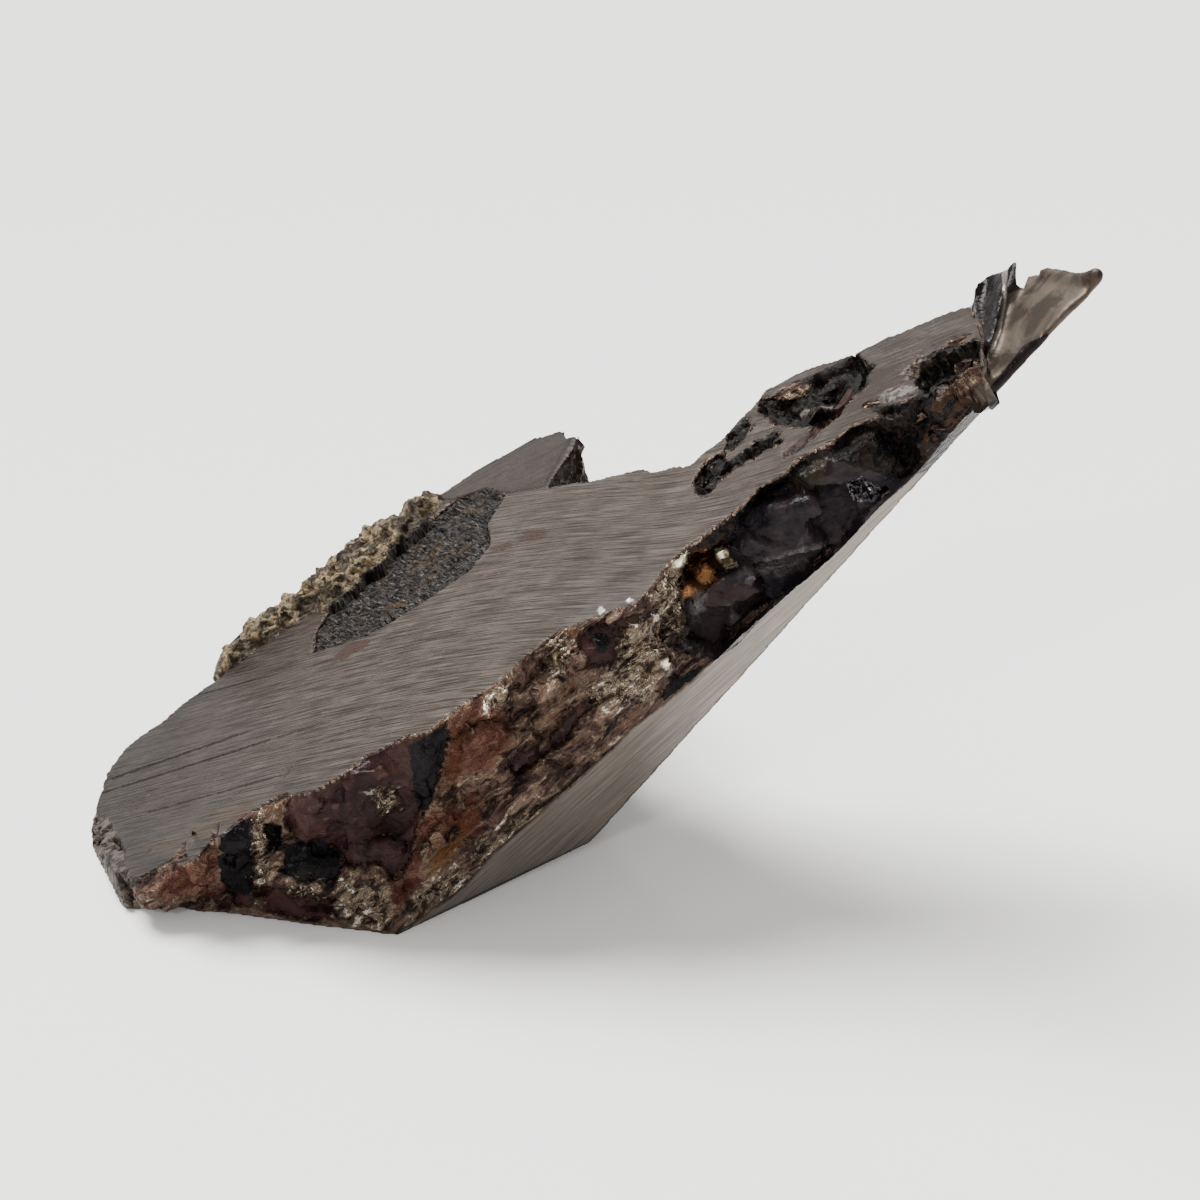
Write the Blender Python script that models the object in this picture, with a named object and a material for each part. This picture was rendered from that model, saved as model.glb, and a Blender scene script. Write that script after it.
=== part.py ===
"""A slice of pallasite, a stony-iron meteorite: a wedge of nickel-iron with olivine crystals in it.

The piece stands on its short base, and its torn tip rises to the right. Two faces are sawn: the
broad sloping top and a narrow strip under the front. The other walls are broken. Lengths below
are in millimetres, and to_object() turns them into metres. X is right, Y is away, Z is up.
"""

import math
import random
from typing import NamedTuple

import bmesh
import bpy
from mathutils import Matrix, Vector, noise

MM = 0.001
PLAN_CENTRE = Vector((-1.05, 1.25, 0.0))    # middle of the plan, moved to the origin
GAP = 0.3                                   # between a crystal and the metal round it
CLEAVE_LEAN = 0.16                          # how unevenly the crystals are broken off
FLUSH = 0.06                                # how far a sawn crystal lies below the sawn top
BIG = 90.0                                  # side of the blocks that make the flat cuts
NOISE_SEED = 3                              # gives the broken chips the same tilts each time

# The sawn top: its height at one point of the front edge, and its rise per millimetre.
TOP_POINT = Vector((-12.34, -7.65, 3.33))
TOP_RISE_X = 0.621
TOP_RISE_Y = 0.0

# Three points on the sawn front strip. The broken back face starts at the strip's far edge, and is
# steep on the left and beside the tip, and a thin plate under the top between them.
FRONT_POINTS = (
    Vector((-6.74, -8.82, 0.0)),
    Vector((-0.34, -2.51, 0.0)),
    Vector((8.33, -4.80, 12.78)),
)
BACK_POINTS = (
    Vector((-0.34, -2.51, 0.0)),
    Vector((-2.60, 5.50, 0.0)),
    Vector((8.57, -3.85, 11.94)),
)
TIP_BACK_POINTS = (
    Vector((8.57, -3.85, 11.94)),
    Vector((12.88, -4.45, 17.75)),
    Vector((10.50, -3.10, 15.87)),
)
PLATE = 1.15            # thickness of the plate under the top at PLATE_START
PLATE_TIP = 0.30        # and at PLATE_END
PLATE_START = 12.2
PLATE_END = 15.2
PLATE_BLEND = 0.6       # how softly the back faces turn into that plate

# Walls: the outline of the top, going round from the near left corner along the front to the tip
# and back along the far side, each point with the point below it where the wall meets the
# underside.
OUTLINE = (
    ((-16.3, -6.9), (-16.15, -6.8)),
    ((-15.6, -7.25), (-15.5, -7.1)),
    ((-14.7, -7.75), (-14.7, -6.9)),
    ((-13.9, -8.4), (-13.8, -6.8)),
    ((-13.2, -8.8), (-12.9, -7.0)),
    ((-12.3, -7.8), (-12.0, -7.3)),
    ((-10.0, -7.6), (-10.1, -7.9)),
    ((-8.7, -7.5), (-8.6, -8.3)),
    ((-7.0, -8.3), (-6.74, -8.75)),
    ((-5.4, -9.0), (-5.6, -7.8)),
    ((-4.1, -8.4), (-4.5, -7.3)),
    ((-3.2, -8.2), (-3.6, -7.6)),
    ((-1.3, -6.9), (-2.2, -7.2)),
    ((1.25, -8.2), (0.2, -6.4)),
    ((2.3, -6.5), (2.1, -6.0)),
    ((3.2, -5.8), (3.6, -5.65)),
    ((4.8, -5.25), (5.15, -5.5)),
    ((6.4, -4.2), (6.4, -5.2)),
    ((7.3, -4.1), (7.7, -4.8)),
    ((8.9, -4.4), (8.9, -4.9)),
    ((10.35, -5.0), (10.2, -4.7)),
    ((11.35, -5.6), (11.2, -4.6)),
    ((11.9, -5.0), (11.9, -4.75)),
    ((12.6, -4.6), (12.6, -4.6)),
    ((13.8, -4.45), (13.8, -4.4)),
    ((14.7, -4.25), (14.7, -4.2)),
    ((15.35, -3.95), (15.3, -3.9)),
    ((15.6, -3.3), (15.5, -3.3)),
    ((15.1, -2.5), (15.0, -2.5)),
    ((14.7, -1.5), (14.6, -1.5)),
    ((13.95, 0.5), (13.85, 0.4)),
    ((13.75, -0.7), (13.7, -0.7)),
    ((13.3, -0.9), (13.3, -0.8)),
    ((12.9, 0.2), (12.8, 0.1)),
    ((12.1, 0.4), (12.0, 0.3)),
    ((10.3, 1.5), (10.2, 1.3)),
    ((8.7, 1.8), (8.6, 1.6)),
    ((6.8, 3.0), (6.7, 2.7)),
    ((5.6, 3.0), (5.5, 2.7)),
    ((4.9, 1.8), (4.8, 1.5)),
    ((4.0, 0.9), (3.9, 0.7)),
    ((3.0, 0.3), (2.9, 0.1)),
    ((1.4, 2.3), (1.3, 2.0)),
    ((-0.3, 4.0), (-0.6, 3.6)),
    ((-1.8, 5.5), (-1.7, 5.0)),
    ((-0.7, 8.6), (0.1, 7.3)),
    ((-1.4, 10.3), (-1.7, 6.8)),
    ((-2.6, 11.0), (-3.6, 5.3)),
    ((-4.2, 11.3), (-4.9, 5.0)),
    ((-5.8, 10.9), (-6.2, 4.8)),
    ((-7.0, 10.0), (-7.3, 4.6)),
    ((-8.6, 9.2), (-8.6, 4.5)),
    ((-9.8, 7.9), (-9.7, 4.4)),
    ((-11.6, 7.6), (-11.2, 4.2)),
    ((-13.1, 6.2), (-12.6, 4.0)),
    ((-13.5, 5.4), (-13.3, 3.9)),
    ((-15.2, 4.8), (-14.8, 3.7)),
    ((-17.0, 4.0), (-16.4, 3.2)),
    ((-17.75, 2.5), (-17.5, 2.2)),
    ((-17.8, -0.2), (-17.6, -0.2)),
    ((-17.6, -3.0), (-17.45, -3.0)),
    ((-17.5, -4.5), (-17.35, -4.4)),
    ((-16.95, -6.1), (-16.8, -6.0)),
)
WALL_STEP = 0.75        # spacing of the points along the outline
WALL_ROWS = 8           # rows of points down a wall
WALL_OVERRUN = 0.25     # how far the shaped walls run past the underside
WALL_FOOT = -3.0        # the walls run on straight down to here before the flat cuts
CHIP_SIZE = 1.7         # size of the flat chips on the broken walls
CHIP_DEPTH = 0.45
RAGGED = 0.32           # how far the sawn outline wanders
RAGGED_SIZE = 0.9       # size of those wanders
BACK_STEP = 0.8         # spacing of the points on the broken back face
BACK_CHIP = 2.6
CHIP_FADE = 2.0         # the chips fade out over this height above the sawn strip
BACK_DEPTH = 0.75       # depth of its chips, and at most this share of the thickness above
BACK_SHARE = 0.3

# Rounded near left corner of the top, and the smooth torn facet of the tip, as planes.
CORNER_POINTS = (
    Vector((-13.5, -8.6, 2.50)),
    Vector((-16.9, -3.4, 0.50)),
    Vector((-15.9, -6.3, 0.30)),
)
TIP_POINTS = (
    Vector((11.65, -4.8, 17.01)),
    Vector((13.77, -4.4, 19.20)),
    Vector((13.95, 0.5, 19.80)),
)
TIP_START = 12.15       # the torn facet begins at this X

# The torn scoop of metal that stands at the start of the tip, as rows from its foot to its top:
# left rim, hollow, right rim.
SCOOP_ROWS = (
    ((12.00, -3.20, 18.05), (12.20, -2.95, 18.15), (12.42, -3.20, 18.45)),
    ((12.08, -1.70, 18.50), (12.42, -1.15, 18.50), (12.76, -1.90, 19.05)),
    ((12.00, -0.40, 18.75), (12.50, 0.15, 18.75), (13.00, -0.90, 19.40)),
    ((12.18, 0.40, 19.20), (12.62, 0.75, 19.10), (13.14, -0.10, 19.68)),
    ((12.45, 0.80, 19.55), (12.80, 0.95, 19.45), (13.22, 0.25, 19.85)),
)
SCOOP_THICKNESS = 0.5
SCOOP_DOWN = Vector((0.35, 0.25, -1.0))     # the way a sheet is thickened
POINTED = 0.7           # length of a worm's pointed end, in its radii

# The curled lip at the far end of the tip, along its length, with its radius at each point.
CURL_PATH = (
    ((14.30, -0.60, 19.95), 0.22),
    ((14.72, -1.50, 20.15), 0.26),
    ((15.10, -2.50, 20.32), 0.30),
    ((15.42, -3.25, 20.62), 0.34),
    ((15.62, -3.55, 20.95), 0.30),
)
SPIKE_PATH = (
    ((13.18, -0.75, 19.20), 0.34),
    ((13.42, -0.25, 19.65), 0.28),
    ((13.45, 0.10, 20.00), 0.20),
)

# Directions in which the broken walls face.
FRONT = Vector((0.24, -0.95, -0.20)).normalized()
FAR = Vector((0.0, 0.77, -0.64)).normalized()
BACK = Vector((0.82, 0.23, -0.52)).normalized()
UP = Vector((-0.53, 0.0, 0.85)).normalized()


class Grain(NamedTuple):
    """One crystal: a convex body with flat faces, and a broken face on its open side."""

    centre: tuple
    half: tuple             # half sizes along its own axes
    turn: float             # about Z, in degrees
    tilt: float             # about Y, in degrees: below zero, the right end is raised
    seed: int
    facets: int
    facing: Vector          # the way its broken face looks
    cleave: float           # from the centre to the broken face


RED_GRAIN = Grain((-13.95, -7.2, 1.35), (1.35, 1.1, 0.85), 10, -28, 8, 16, FRONT, 0.60)
BLACK_GRAIN = Grain((-11.7, -6.95, 2.40), (0.75, 1.3, 1.60), 0, 0, 3, 16, FRONT, 0.72)
SMALL_BLACK_GRAIN = Grain((-9.45, -7.5, 2.05), (1.10, 1.1, 0.65), 0, -20, 9, 16, FRONT, 0.70)
PURPLE_GRAIN = Grain((-7.75, -7.1, 4.60), (2.75, 1.75, 1.55), -4, -29, 5, 22, FRONT, 0.95)
RUBBLE_GRAINS = (
    Grain((-5.0, -7.5, 2.3), (1.25, 1.1, 1.5), 0, -20, 21, 16, FRONT, 0.55),
    Grain((-3.8, -7.3, 3.8), (1.35, 1.0, 1.3), 10, -30, 22, 16, FRONT, 0.50),
    Grain((-3.6, -7.6, 6.2), (1.45, 1.0, 1.3), -10, -25, 23, 18, FRONT, 0.50),
    Grain((-2.2, -7.0, 4.8), (1.35, 1.0, 1.1), 0, -35, 24, 16, FRONT, 0.45),
    Grain((-1.5, -7.0, 7.2), (1.55, 1.0, 1.4), 5, -30, 25, 18, FRONT, 0.40),
    Grain((-0.3, -6.6, 6.1), (1.20, 1.0, 1.1), 0, -40, 26, 16, FRONT, 0.45),
    Grain((0.3, -6.9, 8.6), (1.50, 1.1, 1.4), -5, -30, 27, 18, FRONT, 0.45),
    Grain((1.5, -6.2, 8.1), (1.10, 0.9, 1.0), 0, -35, 28, 16, FRONT, 0.45),
)
GLASSY_GRAINS = (
    Grain((3.95, -4.75, 10.10), (1.85, 1.25, 1.40), 5, -45, 31, 12, FRONT, 0.60),
    Grain((6.00, -4.10, 12.25), (1.75, 1.15, 1.30), -5, -42, 32, 14, FRONT, 0.60),
    Grain((8.00, -3.90, 14.30), (1.60, 0.90, 1.10), 0, -40, 33, 14, FRONT, 0.55),
)
# The hollow round the glassy crystals, as cutters.
GLASSY_HOLLOWS = (
    Grain((4.00, -5.4, 11.00), (2.00, 1.35, 1.95), 5, -42, 41, 18, FRONT, 9.0),
    Grain((6.20, -4.9, 12.90), (2.10, 1.40, 1.75), 0, -40, 42, 18, FRONT, 9.0),
    Grain((8.50, -4.8, 14.80), (2.10, 1.15, 1.40), 0, -38, 43, 18, FRONT, 9.0),
)
TIP_DARK_GRAIN = Grain((10.55, -2.7, 17.20), (1.60, 1.20, 0.45), 15, -32, 51, 16, UP, 0.20)
TIP_BROWN_GRAIN = Grain((11.25, -4.75, 16.95), (0.95, 0.80, 0.85), 0, -35, 52, 14, FRONT, 0.45)
BACK_GRAINS = {
    "olivine_back_left": Grain((-9.6, 5.3, 1.75), (2.3, 1.5, 1.3), 5, 5, 71, 20, FAR, 0.70),
    "olivine_back_middle": Grain((-3.9, 6.5, 2.9), (2.1, 1.6, 1.5), 0, 0, 72, 20, FAR, 0.55),
    "olivine_back_right": Grain((2.0, 0.4, 6.3), (1.9, 2.0, 1.7), 15, -40, 73, 20, BACK, 0.75),
    "olivine_back_upper": Grain((6.3, -0.9, 12.2), (1.6, 1.6, 1.0), 0, -40, 74, 18, BACK, 0.55),
}

# The yellow rim of small crystals along the far edge: place in plan, half size, and height of its
# centre under the sawn top.
RIM_GRAINS = (
    (-12.8, 6.5, 1.00, 0.95),
    (-11.7, 7.3, 1.20, 1.00),
    (-10.5, 7.4, 1.25, 1.10),
    (-9.5, 7.7, 1.25, 1.00),
    (-8.7, 8.8, 1.20, 1.05),
    (-7.5, 9.6, 1.20, 1.10),
    (-6.3, 9.9, 1.15, 1.05),
    (-9.0, 6.8, 1.30, 1.15),
    (-7.9, 7.8, 1.35, 1.15),
    (-6.7, 8.8, 1.35, 1.15),
)
RIM_SEED = 61
RIM_FACETS = 20

# The sawn gritty crystal in the top, as an outline in plan.
PATCH_OUTLINE = (
    (-9.8, 2.9),
    (-9.8, 4.4),
    (-9.3, 6.0),
    (-7.9, 7.2),
    (-6.4, 8.4),
    (-5.3, 9.0),
    (-4.4, 8.5),
    (-3.7, 7.1),
    (-4.3, 5.2),
    (-4.1, 3.4),
    (-4.6, 2.4),
    (-6.2, 1.9),
    (-8.0, 1.8),
)
PATCH_DEPTH = 2.4
PATCH_TAPER = 0.62
PATCH_REACH = 1.25      # how much further a corner moves than the sides beside it
ABOVE_CUT = 0.3         # how far a groove's cutter stands above the sawn top

# Pits in the top, and the gritty crack beside the bay, as cutters.
PITS = (
    Grain((6.35, 0.6, 15.05), (0.95, 1.9, 0.75), 12, -30, 81, 14, UP, 9.0),
    Grain((7.75, -0.4, 15.95), (0.95, 1.5, 0.55), -10, -30, 82, 14, UP, 9.0),
    Grain((9.30, -2.9, 16.85), (0.90, 0.75, 0.35), 30, -30, 83, 12, UP, 9.0),
    Grain((3.60, -0.9, 13.25), (0.35, 1.25, 0.35), -35, -30, 84, 12, UP, 9.0),
    Grain((4.60, 0.4, 13.85), (0.30, 1.0, 0.30), -30, -30, 85, 12, UP, 9.0),
)
# Two deep saw grooves near the left end: start and end in plan, with width and depth.
GROOVES = (
    ((-18.2, 2.2), (-11.0, 0.1), 0.22, 0.16),
    ((-18.2, 1.2), (-8.6, 0.6), 0.16, 0.12),
)

# Metal that is left between a hollow and the sawn faces.
TOP_SKIN = 0.40
FRONT_SKIN = 0.45
TIP_SKIN = 0.25

METAL_COLOUR = (0.22, 0.20, 0.18)
BLACK_COLOUR = (0.02, 0.02, 0.03)
RED_COLOUR = (0.22, 0.06, 0.03)
PURPLE_COLOUR = (0.06, 0.03, 0.04)
BROWN_COLOUR = (0.25, 0.13, 0.05)
GRIT_COLOUR = (0.05, 0.05, 0.05)
YELLOW_COLOUR = (0.45, 0.32, 0.14)
GREEN_COLOUR = (0.20, 0.19, 0.07)


def top_z(x, y):
    """Height of the sawn top."""
    return TOP_POINT.z + TOP_RISE_X * (x - TOP_POINT.x) + TOP_RISE_Y * (y - TOP_POINT.y)


def on_top(x, y, below=0.0):
    return Vector((x, y, top_z(x, y) - below))


def plane_of(points):
    """A point of the plane through three points, and its normal turned upwards."""
    normal = (points[1] - points[0]).cross(points[2] - points[0]).normalized()
    if normal.z < 0:
        normal.negate()
    return points[0], normal


def plane_z(points, x, y):
    point, normal = plane_of(points)
    return point.z - (normal.x * (x - point.x) + normal.y * (y - point.y)) / normal.z


def lower_of(first, second):
    """The smaller of two heights, with a soft turn between them."""
    span = max(PLATE_BLEND - abs(first - second), 0.0) / PLATE_BLEND
    return min(first, second) - span * span * PLATE_BLEND / 4


def back_z(x, y):
    """Height of the broken back face."""
    share = min(max((x - PLATE_START) / (PLATE_END - PLATE_START), 0.0), 1.0)
    plate = top_z(x, y) - PLATE - (PLATE_TIP - PLATE) * share
    steep = lower_of(plane_z(BACK_POINTS, x, y), plane_z(TIP_BACK_POINTS, x, y))
    return lower_of(steep, plate)


def underside_z(x, y):
    return max(plane_z(FRONT_POINTS, x, y), back_z(x, y), 0.0)


def chips(point, size, depth):
    """Height of a surface broken into flat tilted chips."""
    place = point / size
    centre = noise.voronoi(place)[1][0]
    tilt = noise.noise_vector(centre * 7.3)
    return depth * (tilt.dot(place - centre) + noise.noise(centre * 3.1 + Vector((5.0, 0, 0))))


def material(name, colour, metallic, roughness):
    made = bpy.data.materials.new(name)
    made.use_nodes = True
    made.diffuse_color = (*colour, 1)
    shader = made.node_tree.nodes["Principled BSDF"]
    shader.inputs["Base Color"].default_value = (*colour, 1)
    shader.inputs["Metallic"].default_value = metallic
    shader.inputs["Roughness"].default_value = roughness
    return made


def to_object(name, bm, made=None):
    """An object from a mesh in millimetres. Without a material it is a cutter."""
    bmesh.ops.translate(bm, vec=-PLAN_CENTRE, verts=bm.verts)
    bmesh.ops.scale(bm, vec=(MM, MM, MM), verts=bm.verts)
    bmesh.ops.recalc_face_normals(bm, faces=bm.faces)
    mesh = bpy.data.meshes.new(name)
    bm.to_mesh(mesh)
    bm.free()
    obj = bpy.data.objects.new(name, mesh)
    bpy.context.scene.collection.objects.link(obj)
    if made:
        mesh.materials.append(made)
    else:
        obj.hide_render = True
        obj.display_type = "WIRE"
    return obj


def boolean(obj, other, operation="DIFFERENCE", solver="EXACT"):
    modifier = obj.modifiers.new(other.name, "BOOLEAN")
    modifier.operation = operation
    modifier.solver = solver
    modifier.object = other


def slice_off(bm, point, normal):
    """Cuts away what lies on the normal's side of a plane and closes the cut."""
    everything = bm.verts[:] + bm.edges[:] + bm.faces[:]
    bmesh.ops.bisect_plane(
        bm, geom=everything, plane_co=point, plane_no=normal, clear_outer=True
    )
    rim = [edge for edge in bm.edges if edge.is_boundary]
    bmesh.ops.holes_fill(bm, edges=rim)


def crystal(grain, grow=0.0, limits=()):
    """A grain's body, cut off at limit planes. Grown, it is the pocket that leaves a gap round it."""
    turn = Matrix.Rotation(math.radians(grain.turn), 3, "Z")
    frame = turn @ Matrix.Rotation(math.radians(grain.tilt), 3, "Y")
    chance = random.Random(grain.seed)
    centre = Vector(grain.centre)
    bm = bmesh.new()
    bmesh.ops.create_cube(bm, size=4 * max(grain.half))
    bmesh.ops.translate(bm, vec=centre, verts=bm.verts)
    for step in range(grain.facets):
        height = 1 - (2 * step + 1) / grain.facets
        around = step * math.pi * (3 - math.sqrt(5)) + chance.uniform(-0.35, 0.35)
        level = math.sqrt(1 - height * height)
        normal = Vector((level * math.cos(around), level * math.sin(around), height))
        reach = Vector(h * n for h, n in zip(grain.half, normal)).length
        reach *= chance.uniform(0.84, 1.0)
        normal = frame @ normal
        slice_off(bm, centre + normal * (reach + grow), normal)
    if not grow:
        lean = Vector((chance.uniform(-1, 1), chance.uniform(-1, 1), chance.uniform(-1, 1)))
        facing = (grain.facing + lean * CLEAVE_LEAN).normalized()
        slice_off(bm, centre + facing * grain.cleave, facing)
    for point, normal in limits:
        slice_off(bm, point, normal)
    return bm


def limits_of(top_skin, front_skin):
    """Planes that keep a hollow under the sawn top, and off the front strip and the tip's back."""
    found = []
    if top_skin is not None:
        found.append((TOP_POINT - UP * top_skin, UP))
    if front_skin is not None:
        for points in (FRONT_POINTS, TIP_BACK_POINTS):
            point, normal = plane_of(points)
            found.append((point + normal * front_skin, -normal))
    return found


def grown_together(name, grains, made, limits):
    """One object of several crystals: the first, with the others joined, then the flat limits cut."""
    first = to_object(name, crystal(grains[0]), made)
    for number, grain in enumerate(grains[1:], 2):
        boolean(first, to_object(f"{name}.{number}", crystal(grain)), "UNION")
    for number, (point, normal) in enumerate(limits, 1):
        boolean(first, block(f"{name}_limit_{number}", point - normal * GAP, normal))
    return first


def block(name, point, normal, start_x=None):
    """A block that fills the side of a plane to which its normal points, right of start_x."""
    bm = bmesh.new()
    bmesh.ops.create_cube(bm, size=BIG)
    turn = normal.to_track_quat("Z", "Y").to_matrix()
    bmesh.ops.rotate(bm, cent=(0, 0, 0), matrix=turn, verts=bm.verts)
    bmesh.ops.translate(bm, vec=point + normal * BIG / 2, verts=bm.verts)
    if start_x is not None:
        slice_off(bm, Vector((start_x, 0, 0)), Vector((-1, 0, 0)))
    return to_object(name, bm)


def wall_columns():
    """Top and foot of each column of the walls, with the outline's own points kept."""
    columns = []
    count = len(OUTLINE)
    for index in range(count):
        top_a, low_a = (Vector(p) for p in OUTLINE[index])
        top_b, low_b = (Vector(p) for p in OUTLINE[(index + 1) % count])
        steps = max(1, round((top_b - top_a).length / WALL_STEP))
        for step in range(steps):
            share = step / steps
            columns.append((top_a.lerp(top_b, share), low_a.lerp(low_b, share)))
    return columns


def ragged(point, height):
    """A small sideways wander, so that sawn edges aren't straight between their points."""
    place = Vector((point.x, point.y, height)) / RAGGED_SIZE
    return Vector((noise.noise(place), noise.noise(place + Vector((9.1, 0, 0))))) * RAGGED


def walls():
    """The closed body between the sawn top and the foot of the walls."""
    columns = wall_columns()
    count = len(columns)
    bm = bmesh.new()
    rows = [[] for _ in range(WALL_ROWS + 2)]
    for index, (top, low) in enumerate(columns):
        before = columns[index - 1][0]
        after = columns[(index + 1) % count][0]
        along = (after - before).normalized()
        outward = Vector((along.y, -along.x, 0.0))
        edge = top + ragged(top, 0.0)
        head = on_top(edge.x, edge.y)
        foot = Vector((low.x, low.y, min(underside_z(low.x, low.y), head.z) - WALL_OVERRUN))
        height = (head - foot).length
        for row in range(WALL_ROWS + 1):
            share = row / WALL_ROWS
            point = head.lerp(foot, share)
            swell = math.sin(math.pi * share) ** 0.7 if 0 < share < 1 else 0.0
            reach = min(height / 4, 1.0) * swell
            point += outward * reach * chips(point, CHIP_SIZE, CHIP_DEPTH)
            rows[row].append(bm.verts.new(point))
        rows[WALL_ROWS + 1].append(bm.verts.new((foot.x, foot.y, WALL_FOOT)))
    for upper, lower in zip(rows, rows[1:]):
        for index in range(count):
            after = (index + 1) % count
            bm.faces.new((upper[index], upper[after], lower[after], lower[index]))
    bm.faces.new(rows[0])
    bm.faces.new(rows[-1])
    bmesh.ops.triangulate(bm, faces=[face for face in bm.faces if len(face.verts) == 4])
    return bm


def back_block():
    """The block that cuts the broken back face: its upper side is that face, with its chips."""
    low_x, high_x, low_y, high_y = -6.0, 18.0, -8.0, 14.0
    across = round((high_x - low_x) / BACK_STEP)
    deep = round((high_y - low_y) / BACK_STEP)
    bm = bmesh.new()
    upper = []
    lower = []
    for i in range(across + 1):
        for j in range(deep + 1):
            x = low_x + (high_x - low_x) * i / across
            y = low_y + (high_y - low_y) * j / deep
            z = back_z(x, y)
            near_front = min(max(z - plane_z(FRONT_POINTS, x, y), 0.0) / CHIP_FADE, 1.0)
            depth = min(BACK_DEPTH, (top_z(x, y) - z) * BACK_SHARE)
            z += near_front * chips(Vector((x, y, z)), BACK_CHIP, depth)
            upper.append(bm.verts.new((x, y, z)))
            lower.append(bm.verts.new((x, y, -BIG / 2)))
    side = deep + 1
    for i in range(across):
        for j in range(deep):
            a, b = i * side + j, (i + 1) * side + j
            bm.faces.new((upper[a], upper[b], upper[b + 1], upper[a + 1]))
            bm.faces.new((lower[a + 1], lower[b + 1], lower[b], lower[a]))
    ring = [i * side for i in range(across + 1)]
    ring += [across * side + j for j in range(1, deep + 1)]
    ring += [i * side + deep for i in range(across - 1, -1, -1)]
    ring += [j for j in range(deep - 1, 0, -1)]
    for a, b in zip(ring, ring[1:] + ring[:1]):
        bm.faces.new((upper[a], lower[a], lower[b], upper[b]))
    bmesh.ops.triangulate(bm, faces=bm.faces)
    return bm


def sheet(rows, thickness):
    """A closed sheet of even thickness on a grid of points, thickened downwards."""
    bm = bmesh.new()
    over = [[bm.verts.new(p) for p in row] for row in rows]
    down = SCOOP_DOWN.normalized() * thickness
    under = [[bm.verts.new(Vector(p) + down) for p in row] for row in rows]
    for i in range(len(rows) - 1):
        for j in range(len(rows[0]) - 1):
            bm.faces.new((over[i][j], over[i][j + 1], over[i + 1][j + 1], over[i + 1][j]))
            bm.faces.new((under[i + 1][j], under[i + 1][j + 1], under[i][j + 1], under[i][j]))
    last = len(rows[0]) - 1
    ring = [(0, j) for j in range(last)] + [(i, last) for i in range(len(rows) - 1)]
    ring += [(len(rows) - 1, j) for j in range(last, 0, -1)]
    ring += [(i, 0) for i in range(len(rows) - 1, 0, -1)]
    for (i, j), (k, m) in zip(ring, ring[1:] + ring[:1]):
        bm.faces.new((over[i][j], under[i][j], under[k][m], over[k][m]))
    bmesh.ops.triangulate(bm, faces=bm.faces)
    return bm


def worm(path, sides=8):
    """A round tapering body along a path, with pointed ends."""
    bm = bmesh.new()
    points = [Vector(p) for p, _ in path]
    rings = []
    for index, (_, radius) in enumerate(path):
        along = points[min(index + 1, len(points) - 1)] - points[max(index - 1, 0)]
        turn = along.to_track_quat("Z", "Y").to_matrix()
        ring = []
        for side in range(sides):
            angle = 2 * math.pi * side / sides
            spoke = turn @ Vector((math.cos(angle), math.sin(angle), 0.0))
            ring.append(bm.verts.new(points[index] + spoke * radius))
        rings.append(ring)
    for lower, upper in zip(rings, rings[1:]):
        for side in range(sides):
            after = (side + 1) % sides
            bm.faces.new((lower[side], lower[after], upper[after], upper[side]))
    ends = (
        (rings[0], points[0] - points[1], path[0][1]),
        (rings[-1], points[-1] - points[-2], path[-1][1]),
    )
    for ring, away, radius in ends:
        middle = sum((v.co for v in ring), Vector()) / sides
        cap = bm.verts.new(middle + away.normalized() * radius * POINTED)
        for side in range(sides):
            bm.faces.new((ring[side], ring[(side + 1) % sides], cap))
    return bm


def patch(grow, head, depth):
    """The sawn gritty crystal, from a height over the sawn top down to a smaller foot."""
    middle = sum((Vector(p) for p in PATCH_OUTLINE), Vector((0, 0))) / len(PATCH_OUTLINE)
    bm = bmesh.new()
    upper = []
    lower = []
    for point in PATCH_OUTLINE:
        out = Vector(point) - middle
        edge = middle + out * (1 + grow / out.length * PATCH_REACH)
        foot = middle + out * PATCH_TAPER * (1 + grow / out.length / PATCH_TAPER * PATCH_REACH)
        upper.append(bm.verts.new(on_top(edge.x, edge.y, -head)))
        lower.append(bm.verts.new(on_top(foot.x, foot.y, depth + grow)))
    count = len(upper)
    for index in range(count):
        after = (index + 1) % count
        bm.faces.new((upper[index], upper[after], lower[after], lower[index]))
    bm.faces.new(upper)
    bm.faces.new(lower)
    bmesh.ops.triangulate(bm, faces=[face for face in bm.faces if len(face.verts) == 4])
    return bm


def groove(start, end, width, depth):
    """A long cutter with a pointed lower edge, along the sawn top."""
    start, end = Vector(start), Vector(end)
    along = (end - start).normalized()
    side = Vector((-along.y, along.x)) * width / 2
    bm = bmesh.new()
    rings = []
    for point in (start, end):
        left, right = point + side, point - side
        rings.append(
            [
                bm.verts.new(on_top(left.x, left.y, -ABOVE_CUT)),
                bm.verts.new(on_top(left.x, left.y, 0.0)),
                bm.verts.new(on_top(point.x, point.y, depth)),
                bm.verts.new(on_top(right.x, right.y, 0.0)),
                bm.verts.new(on_top(right.x, right.y, -ABOVE_CUT)),
            ]
        )
    count = len(rings[0])
    for index in range(count):
        after = (index + 1) % count
        bm.faces.new((rings[0][index], rings[0][after], rings[1][after], rings[1][index]))
    bm.faces.new(rings[0])
    bm.faces.new(rings[1])
    return bm


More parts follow.
